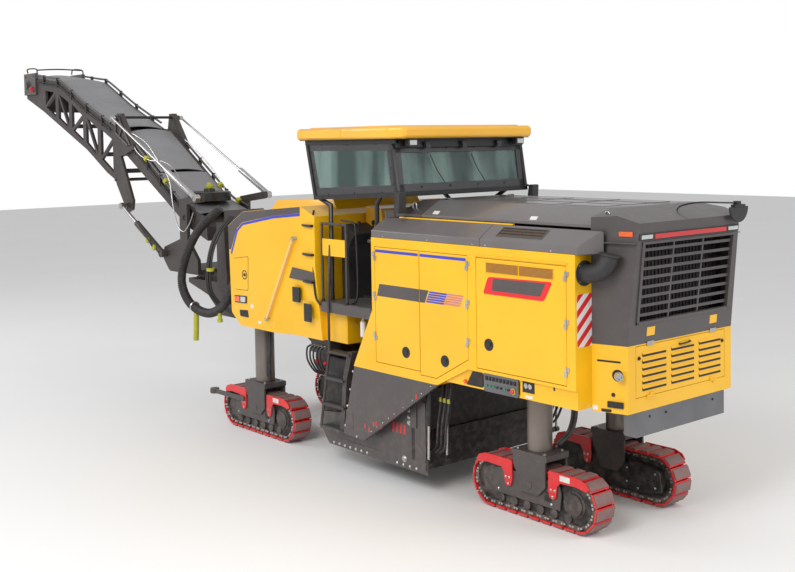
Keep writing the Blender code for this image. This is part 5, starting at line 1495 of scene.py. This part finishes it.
def cover_over(shape, route, x0, x1, half, lift, crown, steps=14):
    """A crowned sheet over a conveyor, following its top line."""
    rings = []
    for i in range(steps + 1):
        x = x0 + (x1 - x0) * i / steps
        z = height_on(route, x) + lift
        upper = [(half * (1 - k / 5), z + crown * (1 - (1 - k / 5) ** 2)) for k in range(11)]
        lower = [(y, h - 0.012) for y, h in reversed(upper)]
        rings.append([(x, y, h) for y, h in upper + lower])
    shape.loft(rings)


def conveyor_trim():
    """Covers, rails, tie bar, feed drum, cables, clamps and head guards of the conveyor."""
    upper, lower = Shape(), Shape()
    cover_over(upper, UPPER_TOP, 8.12, 9.36, 0.44, 0.012, 0.05)
    cover_over(upper, UPPER_TOP, 9.37, 10.48, 0.44, 0.012, 0.05)
    cover_over(upper, UPPER_TOP, 10.49, 11.62, 0.44, 0.012, 0.05)
    cover_over(lower, LOWER_TOP, 6.62, 7.76, 0.42, 0.020, 0.05)
    cover_over(lower, LOWER_TOP, 5.25, 6.60, 0.47, 0.008, 0.015)
    place("upper_belt_cover", upper, "upper_boom", PALE, 0)
    place("lower_belt_cover", lower, "lower_boom", PALE, 0)
    belt = Shape()
    cover_over(belt, UPPER_TOP, 11.63, 12.16, 0.36, 0.004, 0.0)
    place("head_belt", belt, "upper_boom", BELT, 0)
    for name, route, span, body in (
        ("upper", UPPER_TOP, (8.30, 11.55), "upper_boom"),
        ("lower", LOWER_TOP, (5.35, 7.55), "lower_boom")
    ):
        tubes, ties, cable = Shape(), Shape(), Shape()
        steps = 10
        for side in (1, -1):
            line = []
            for i in range(steps + 1):
                x = span[0] + (span[1] - span[0]) * i / steps
                line.append((x, side * 0.515, height_on(route, x) + 0.055))
            tubes.pipe(line, 0.020, 10, 4)
            low = [(x, side * (abs(y) + 0.012), z - 0.12) for x, y, z in line]
            cable.pipe(low, 0.011, 8, 4)
            cable.pipe([(x, y, z - 0.035) for x, y, z in low], 0.011, 8, 4)
            for x, y, z in line[1::2]:
                ties.box((x - 0.012, x + 0.012), across(side, 0.488, 0.545), (z - 0.175, z + 0.026))
        place(name + "_boom_tubes", tubes, body, CHARCOAL, 0, "frame_paint")
        place(name + "_boom_cables", cable, body, RUBBER, 0)
        place(name + "_boom_ties", ties, body, BLACK, 0.002, "black_paint")
    drum, cap = Shape(), Shape()
    drum.turned(
        (5.72, 0, 3.27), (5.72, 0, 4.0),
        (
            (0, 0.36), (0.14, 0.36), (0.15, 0.345), (0.155, 0.30), (0.150, 0.10), (0.20, 0.095),
            (0.21, 0.05)
        ), 36
    )
    cap.turned(
        (5.72, 0, 3.47), (5.72, 0, 4.0),
        ((0, 0.060), (0.02, 0.072), (0.05, 0.072), (0.055, 0.045), (0.10, 0.042), (0.105, 0.02)), 24
    )
    place("fan_housing", drum, "lower_boom", BLACK, 0.004, "black_paint")
    place("fan_fitting", cap, "lower_boom", LIME, 0)
    bar, frames = Shape(), Shape()
    bar.rod((7.86, -0.56, 4.73), (7.86, 0.56, 4.73), 0.024)
    for side in (1, -1):
        for a, b in (
            ((7.42, 4.22), (7.84, 4.74)), ((7.92, 4.74), (7.98, 4.44)), ((7.50, 4.22), (7.96, 4.45)),
            ((7.70, 4.55), (7.84, 4.38))
        ):
            frames.rod((a[0], side * 0.585, a[1]), (b[0], side * 0.585, b[1]), 0.018, 10)
    place("boom_tie_bar", bar, "lower_boom", BLACK, 0, "black_paint")
    place("boom_peak_braces", frames, "lower_boom", CHARCOAL, 0, "frame_paint")
    wires, clips = Shape(), Shape()
    wires.pipe(
        [
            (7.70, 0.52, 4.50), (7.10, 0.46, 4.28), (6.60, 0.50, 3.98), (6.10, 0.56, 3.66),
            (5.80, 0.66, 3.25), (5.62, 0.68, 2.90), (5.42, 0.68, 2.80), (5.25, 0.66, 2.95),
            (5.20, 0.62, 3.12)
        ], 0.009, 8, 8
    )
    wires.pipe(
        [
            (7.60, 0.50, 4.42), (7.20, 0.56, 4.10), (6.80, 0.54, 3.96), (6.50, 0.46, 3.94),
            (6.2, 0.40, 3.80), (5.95, 0.31, 3.40)
        ], 0.008, 8, 8
    )
    wires.pipe(
        [(7.60, -0.50, 4.42), (7.00, -0.56, 4.06), (6.40, -0.52, 3.72), (5.90, -0.50, 3.32)], 0.009, 8,
        8
    )
    for x, y in ((6.92, 0.53), (6.30, 0.50), (6.15, -0.48), (5.60, -0.50)):
        z = height_on(LOWER_TOP, x)
        clips.turned((x - 0.03, y, z + 0.04), (x + 0.05, y, z + 0.09), ((0, 0.050), (0.07, 0.050)), 12)
    place("boom_wires", wires, "lower_boom", STEEL, 0)
    place("boom_clips", clips, "lower_boom", LIME, 0.003)
    guard, lamps, ends = Shape(), Shape(), Shape()
    for side in (1, -1):
        ends.box((11.62, 12.20), across(side, 0.475, 0.545), (5.30, 5.74))
        for x, z in ((11.70, 5.68), (11.70, 5.36), (12.12, 5.68), (12.12, 5.36), (11.90, 5.52)):
            ends.bolt((x, side * 0.545, z), (0, side, 0), 0.014, 0.012)
        ends.turned(
            (12.0, side * 0.545, 5.50), (12.0, side * 1.0, 5.50),
            ((0, 0.10), (0.015, 0.10), (0.018, 0.075), (0.05, 0.075), (0.055, 0.04)), 24
        )
        lamps.turned(
            (11.78, side * 0.56, 5.42), (11.60, side * 0.60, 5.34),
            ((0, 0.045), (0.01, 0.055), (0.05, 0.055), (0.055, 0.03)), 18
        )
    guard.pipe(
        [(11.62, -0.50, 5.70), (11.66, -0.50, 5.82), (12.10, -0.50, 5.86), (12.14, -0.48, 5.76)], 0.014,
        10, 6
    )
    guard.pipe([(11.64, 0.50, 5.80), (11.66, 0.0, 5.83), (11.66, -0.50, 5.82)], 0.014, 10, 4)
    guard.pipe(
        [(11.62, 0.50, 5.70), (11.66, 0.50, 5.82), (12.10, 0.50, 5.84), (12.14, 0.48, 5.76)], 0.014, 10,
        6
    )
    place("head_guard_tubes", guard, "upper_boom", BLACK, 0, "black_paint")
    place("head_bearings", ends, "upper_boom", CHARCOAL, 0.006, "frame_paint")
    place("head_lamps", lamps, "upper_boom", RED_LENS, 0)
    ram_parts()


def ram_parts():
    """Hose ties and hoses round the conveyor lift rams."""
    ties, hoses = Shape(), Shape()
    for side in (1, -1):
        for share in (0.12, 0.27):
            x, z = 6.13 + 1.42 * share, 2.40 + 0.75 * share
            foot = (x, side * 0.753, z)
            ties.turned(foot, (x, side * 1.753, z), ((0, 0.052), (0.030, 0.052), (0.036, 0.040)), 8)
        hoses.pipe(
            [(6.30, side * 0.80, 2.52), (6.60, side * 0.80, 2.74), (6.80, side * 0.78, 2.84)], 0.014, 8,
            6
        )
    place("ram_ties", ties, "ram_barrels", LIME, 0.002)
    place("ram_hoses", hoses, "ram_barrels", RUBBER, 0)


# ---------------------------------------------------------------- platform and canopy
def platform_trim():
    """Deck plates, seats, console, controls, gate and tank of the operator's platform."""
    deck, lip = Shape(), Shape()
    for y0, y1 in ((-1.19, -0.66), (-0.65, 0.65), (0.66, 1.19)):
        deck.box((-0.085, 0.945), (y0, y1), (2.1495, 2.156))
    for side in (1, -1):
        lip.box((-0.09, 0.955), across(side, 1.199, 1.207), (2.02, 2.152))
        for x in (0.02, 0.32, 0.62, 0.90):
            lip.bolt((x, side * 1.207, 2.06), (0, side, 0), 0.008, 0.006)
    place("deck_plates", deck, "machine", DECK, 0.002, "black_paint")
    place("deck_lips", lip, "machine", CHARCOAL, 0.002, "charcoal_paint")
    cushions, seams = Shape(), Shape()
    for side in (1, -1):
        y0, y1 = across(side, 0.36, 0.78)
        plan = rounded([(0.03, y0), (0.46, y0), (0.46, y1), (0.03, y1)], 0.07)
        cushions.loft([[(x, y, z) for x, y in plan] for z in (2.735, 2.80)])
        back = rounded([(y0, 2.80), (y1, 2.80), (y1 - 0.03, 3.26), (y0 + 0.03, 3.26)], 0.07)
        cushions.loft([[(x, y, z) for y, z in back] for x in (-0.03, 0.13)])
        arm = rounded([(0.06, 2.92), (0.40, 2.92), (0.40, 2.97), (0.06, 2.97)], 0.02)
        cushions.prism("y", arm, side * 0.80, side * 0.86)
        seams.pipe(
            [(0.135, y0 + 0.06, 2.88), (0.138, (y0 + y1) / 2, 2.86), (0.135, y1 - 0.06, 2.88)], 0.006,
            8, 4
        )
    place("seat_cushions", cushions, "machine", CHARCOAL, 0.018, "black_plastic")
    place("seat_piping", seams, "machine", BLACK, 0, "black_plastic")
    console, labels, knobs, red = Shape(), Shape(), Shape(), Shape()
    console.prism("y", [(0.60, 3.06), (0.64, 3.33), (0.96, 3.36), (0.96, 3.06)], -0.42, 0.42)
    for k in range(4):
        y = -0.36 + k * 0.19
        labels.prism("y", [(0.612, 3.19), (0.627, 3.30), (0.640, 3.30), (0.625, 3.19)], y, y + 0.15)
    for k in range(7):
        y = -0.72 + k * 0.24
        knobs.turned(
            (0.74, y, 3.03), (0.72, y, 3.33),
            ((0, 0.018), (0.05, 0.012), (0.09, 0.012), (0.10, 0.024), (0.14, 0.022), (0.15, 0.010)), 16
        )
    for y in (-0.30, 0.30):
        red.turned(
            (0.615, y, 3.12), (0.0, y, 3.12),
            ((0, 0.018), (0.018, 0.018), (0.020, 0.030), (0.036, 0.030), (0.040, 0.022)), 18
        )
    place("console", console, "machine", AMBER, 0.010, "amber_shell")
    place("console_labels", labels, "machine", WHITE, 0)
    place("console_knobs", knobs, "machine", BLACK, 0, "black_plastic")
    place("console_stops", red, "machine", RED_LENS, 0)
    for side_name, side in SIDES:
        gate, tank, tubes, caps = Shape(), Shape(), Shape(), Shape()
        plate = rounded([(0.435, 2.755), (0.915, 2.755), (0.915, 2.975), (0.435, 2.975)], 0.012)
        gate.prism("y", plate, side * 1.171, side * 1.190)
        tank.turned(
            (0.20, side * 1.10, 1.76), (0.20, side * 1.10, 3.0),
            ((0, 0.030), (0.01, 0.038), (0.19, 0.038), (0.20, 0.030), (0.22, 0.014), (0.24, 0.014)), 20
        )
        tubes.pipe(
            [
                (1.05, side * 1.215, 3.34), (1.06, side * 1.232, 3.20), (1.06, side * 1.235, 2.70),
                (1.03, side * 1.235, 2.24), (0.95, side * 1.215, 2.10)
            ], 0.014, 10, 6
        )
        tubes.pipe(
            [
                (0.40, side * 1.12, 2.16), (0.30, side * 1.12, 2.22), (0.27, side * 1.12, 2.50),
                (0.30, side * 1.12, 3.10), (0.36, side * 1.12, 3.20), (0.60, side * 1.12, 3.22)
            ], 0.013, 10, 6
        )
        caps.turned(
            (0.93, side * 1.18, 2.15), (0.93, side * 1.18, 3.0),
            ((0, 0.036), (0.008, 0.036), (0.010, 0.022), (0.04, 0.022)), 16
        )
        caps.turned(
            (0.42, side * 1.18, 2.15), (0.42, side * 1.18, 3.0),
            ((0, 0.036), (0.008, 0.036), (0.010, 0.022), (0.04, 0.022)), 16
        )
        place("gate_panel_" + side_name, gate, "machine", YELLOW, 0.002, "yellow_paint")
        place("washer_tank_" + side_name, tank, "machine", WHITE, 0)
        place("platform_tubes_" + side_name, tubes, "machine", BLACK, 0, "black_paint")
        place("rail_feet_" + side_name, caps, "machine", BLACK, 0, "black_paint")


def canopy_trim():
    """Headers, glass borders, hinges, mirrors, roof panels and lamps of the canopy."""
    header, border, bolts, roof = Shape(), Shape(), Shape(), Shape()
    header.box((-0.50, 1.34), (1.06, 1.128), (4.19, 4.252))
    header.box((-0.50, 1.34), (-1.128, -1.06), (4.19, 4.252))
    header.box((-0.50, -0.42), (-1.10, 1.10), (4.14, 4.252))
    header.box((1.28, 1.34), (-1.10, 1.10), (4.14, 4.252))
    header.box((-0.42, 1.28), (-1.06, 1.06), (4.235, 4.249))
    outer = [(1.12, 3.52), (1.28, 4.20), (-0.40, 4.20), (-0.50, 3.60)]
    inner = [(1.055, 3.625), (1.18, 4.11), (-0.335, 4.11), (-0.405, 3.69)]
    for side in (1, -1):
        for i in range(4):
            j = (i + 1) % 4
            quad = [outer[i], outer[j], inner[j], inner[i]]
            patch(border, side, quad, 0.004, lambda x, z: 1.112)
        for i in range(4):
            for share in (0.15, 0.5, 0.85):
                j = (i + 1) % 4
                spot = Vector(outer[i]).lerp(Vector(outer[j]), share).lerp(Vector((0.35, 3.88)), 0.045)
                bolts.bolt((spot.x, side * 1.116, spot.y), (0, side, 0), 0.008, 0.006)

    def rear(y, z, lift):
        return (-0.512 + (z - 3.65) * 0.14 - lift, y, z)

    for y0, y1, z0, z1 in (
        (-1.10, 1.10, 3.60, 3.70), (-1.10, 1.10, 4.08, 4.17), (
            -1.10, -1.00, 3.60, 4.17
        ), (1.00, 1.10, 3.60, 4.17),
    ):
        ring = [(y0, z0), (y1, z0), (y1, z1), (y0, z1)]
        border.loft([[rear(y, z, lift) for y, z in ring] for lift in (-0.010, 0.014)])
    for y in (-0.72, -0.24, 0.24, 0.72):
        for z in (3.66, 4.13):
            bolts.bolt(rear(y, z, 0.014), (-1, 0, 0), 0.010, 0.008)
    for y in (-0.62, 0.0, 0.62):
        border.box((-0.545, -0.47), (y - 0.035, y + 0.035), (4.13, 4.215))
        border.turned((-0.535, y - 0.05, 4.20), (-0.535, y + 1, 4.20), ((0, 0.016), (0.10, 0.016)), 14)
    place("canopy_header", header, "machine", BLACK, 0.004, "black_paint")
    place("glass_borders", border, "machine", BORDER, 0.003, "black_paint")
    place("glass_bolts", bolts, "machine", DEEP, 0, "black_paint")
    plan = rounded([(-0.48, -1.08), (1.34, -1.08), (1.34, 1.08), (-0.48, 1.08)], 0.10)
    roof.loft([[(x, y, z) for x, y in plan] for z in (4.395, 4.414)])
    for side in (1, -1):
        patch(
            roof, side, rounded([(0.42, 4.275), (1.33, 4.275), (1.33, 4.375), (0.42, 4.375)], 0.012),
            0.004, lambda x, z: 1.24
        )
    place("roof_panels", roof, "machine", AMBER, 0.006, "amber_shell")
    liner = Shape()
    inside = rounded([(-0.60, -1.16), (1.48, -1.16), (1.48, 1.16), (-0.60, 1.16)], 0.10)
    liner.loft([[(x, y, z) for x, y in inside] for z in (4.243, 4.252)])
    place("roof_liner", liner, "machine", BLACK, 0, "black_paint")
    heads, arms, lenses = Shape(), Shape(), Shape()
    for side in (1, -1):
        arms.pipe(
            [
                (-0.50, side * 1.10, 3.62), (-0.57, side * 1.14, 3.60), (-0.62, side * 1.16, 3.50),
                (-0.62, side * 1.16, 3.36)
            ], 0.014, 10, 6
        )
        block = rounded([(-0.66, 3.36), (-0.56, 3.36), (-0.60, 3.62), (-0.68, 3.62)], 0.02)
        heads.prism("y", block, side * 1.10, side * 1.215)
        for x in (1.36, -0.58):
            heads.box((x - 0.04, x + 0.04), across(side, 0.86, 1.00), (4.16, 4.244))
            way = 1 if x > 0 else -1
            lenses.box(sorted((x + way * 0.041, x + way * 0.046)), across(side, 0.875, 0.985), (4.172, 4.230))
    place("mirror_heads", heads, "machine", PLASTIC, 0.008, "black_plastic")
    place("mirror_arms", arms, "machine", BLACK, 0, "black_paint")
    place("canopy_lamps", lenses, "machine", CLEAR_LENS, 0.004)
    wipers = Shape()
    for x, z0, z1, lift in ((-0.53, 3.70, 4.05, 0.0),):
        for y in (-0.35, 0.35):
            wipers.pipe(
                [(x - 0.012, y, z0), (x + 0.015, y + 0.12, 3.88), (x + 0.03, y + 0.20, z1)], 0.006, 8, 4
            )
    place("wipers", wipers, "machine", BLACK, 0, "black_paint")


# ---------------------------------------------------------------- CAD nodes and their finish
def dress_nodes():
    """Give every CAD node its rounded, finished skin."""
    finishes = {
        "bulkhead": (CHARCOAL, 0.008, "charcoal_paint"),
        "canopy_frame": (BLACK, 0.004, "black_paint"),
        "canopy_roof": (AMBER, 0.045, "amber_shell"),
        "conveyor_mount": (FRAME, 0.006, "frame_paint"),
        "drum_housing": (DEEP, 0.006, "charcoal_paint"),
        "engine_block": (CAST, 0.03, "cast_iron"),
        "front_body": (YELLOW, 0.012, "yellow_paint"),
        "hood": (HOOD, 0.010, "charcoal_paint"),
        "lower_boom": (FRAME, 0.006, "frame_paint"),
        "main_frame": (FRAME, 0.006, "frame_paint"),
        "milling_drum": (CAST, 0.006, "cast_iron"),
        "operator_station": (PLASTIC, 0.02, "black_plastic"),
        "platform": (TREAD, 0.005, "black_paint"),
        "primary_conveyor": (FRAME, 0.006, "frame_paint"),
        "rear_bumper": (GALVANISED, 0.006, "bare_steel"),
        "rear_cowl": (CHARCOAL, 0.012, "charcoal_paint"),
        "rear_door": (YELLOW, 0.004, "yellow_paint"),
        "rear_panel": (YELLOW, 0.010, "yellow_paint"),
        "scraper": (DEEP, 0.004, "frame_paint"),
        "swivel": (FRAME, 0.006, "frame_paint"),
        "upper_boom": (FRAME, 0.005, "frame_paint"),
    }
    for side_name, _ in SIDES:
        finishes["ladder_" + side_name] = (FRAME, 0.004, "frame_paint")
        finishes["ram_barrel_" + side_name] = (FRAME, 0.003, "frame_paint")
        finishes["ram_rod_" + side_name] = (STEEL, 0.003, "bare_steel")
        finishes["side_box_" + side_name] = (YELLOW, 0.008, "yellow_paint")
        finishes["side_cover_" + side_name] = (HOOD, 0.010, "charcoal_paint")
        finishes["side_plate_" + side_name] = (CHARCOAL, 0.004, "charcoal_paint")
        finishes["skirt_" + side_name] = (CHARCOAL, 0.006, "charcoal_paint")
        finishes["stay_" + side_name] = (STEEL, 0.003, "bare_steel")
        for end in ("front", "rear"):
            finishes["leg_%s_%s" % (end, side_name)] = (LEG, 0.004, "frame_paint")
    for pane in ("front", "left", "rear", "right"):
        finishes["glass_" + pane] = (GLASS, 0.0, "window_glass")
    for node, (look, bevel, slot) in finishes.items():
        dress(node, look, bevel, slot)


# ---------------------------------------------------------------- camera and studio
AMBIENT = 0.62           # strength of the even light from all round


def studio():
    """A plain pale floor, soft lamps and the even light from all round."""
    floor = bpy.data.meshes.new("floor")
    reach = 60.0
    floor.from_pydata(
        [(-reach, -reach, 0), (reach, -reach, 0), (reach, reach, 0), (-reach, reach, 0)], [],
        [(0, 1, 2, 3)]
    )
    ground = bpy.data.objects.new("floor", floor)
    bpy.context.scene.collection.objects.link(ground)
    graph = Graph("floor_paint")
    tone = graph.mix(graph.noise(0.4), (0.86, 0.86, 0.86), (0.90, 0.90, 0.90))
    graph.feed(graph.shader.inputs["Base Color"], tone)
    graph.shader.inputs["Roughness"].default_value = 0.85
    floor.materials.append(graph.material)
    ground.location.z = -0.001

    world = bpy.data.worlds.new("studio")
    world.use_nodes = True
    tree = world.node_tree
    backdrop = tree.nodes["Background"]
    backdrop.inputs[0].default_value = (1.0, 1.0, 1.0, 1.0)
    ray = tree.nodes.new("ShaderNodeLightPath")
    power = tree.nodes.new("ShaderNodeMapRange")
    tree.links.new(ray.outputs["Is Camera Ray"], power.inputs[0])
    power.inputs[3].default_value = AMBIENT
    power.inputs[4].default_value = 1.0
    tree.links.new(power.outputs[0], backdrop.inputs[1])
    bpy.context.scene.world = world
    for name, spot, target, size, power in (
        ("key", (-9.0, 13.0, 11.0), (0.0, 0.0, 1.5), 7.0, 1300.0),
        ("rear", (-16.0, -4.0, 8.0), (-4.0, 0.0, 1.8), 6.0, 420.0),
        ("front", (10.0, 9.0, 9.0), (4.0, 0.0, 2.5), 6.0, 450.0),
    ):
        light = bpy.data.lights.new(name, "AREA")
        light.size = size
        light.energy = power
        lamp = bpy.data.objects.new(name, light)
        lamp.location = spot
        lamp.rotation_euler = (Vector(target) - Vector(spot)).to_track_quat("-Z", "Y").to_euler()
        bpy.context.scene.collection.objects.link(lamp)
    bpy.context.scene.view_settings.view_transform = "Standard"


CAMERA_PLACE = (-10.81, 9.804, 4.221)
CAMERA_YAW = -40.118
CAMERA_PITCH = 3.004
CAMERA_ROLL = -0.927


def camera():
    data = bpy.data.cameras.new("camera")
    data.lens = 50.73
    data.sensor_width = 36.0
    data.shift_x = 0.0019
    data.shift_y = -0.1082
    data.clip_end = 200.0
    yaw, pitch, roll = (math.radians(a) for a in (CAMERA_YAW, CAMERA_PITCH, CAMERA_ROLL))
    ahead = Vector((math.cos(yaw), math.sin(yaw), 0.0))
    right = Vector((math.sin(yaw), -math.cos(yaw), 0.0))
    up = Vector((0.0, 0.0, 1.0))
    forward = ahead * math.cos(pitch) - up * math.sin(pitch)
    above = ahead * math.sin(pitch) + up * math.cos(pitch)
    x_axis = right * math.cos(roll) + above * math.sin(roll)
    y_axis = above * math.cos(roll) - right * math.sin(roll)
    item = bpy.data.objects.new("camera", data)
    turn = Matrix((x_axis, y_axis, -forward)).transposed().to_4x4()
    item.matrix_world = STATION @ Matrix.Translation(CAMERA_PLACE) @ turn
    bpy.context.scene.collection.objects.link(item)
    bpy.context.scene.camera = item


camera()
studio()
dress_nodes()
doors()
ground_panel()
hazard("marker_left", (-1, 0, 0), (BOX_REAR_X - 0.001, 1.085, 2.38), 0.28, 0.54)
hazard("marker_right", (-1, 0, 0), (BOX_REAR_X - 0.001, -1.085, 2.38), 0.28, 0.54)
cover_trim()
rear_cowl_trim()
rear_panel_trim()
mirror()
intake()
front_trim()
suction_hoses()
tracks()
milling_trim()
conveyor_trim()
platform_trim()
canopy_trim()
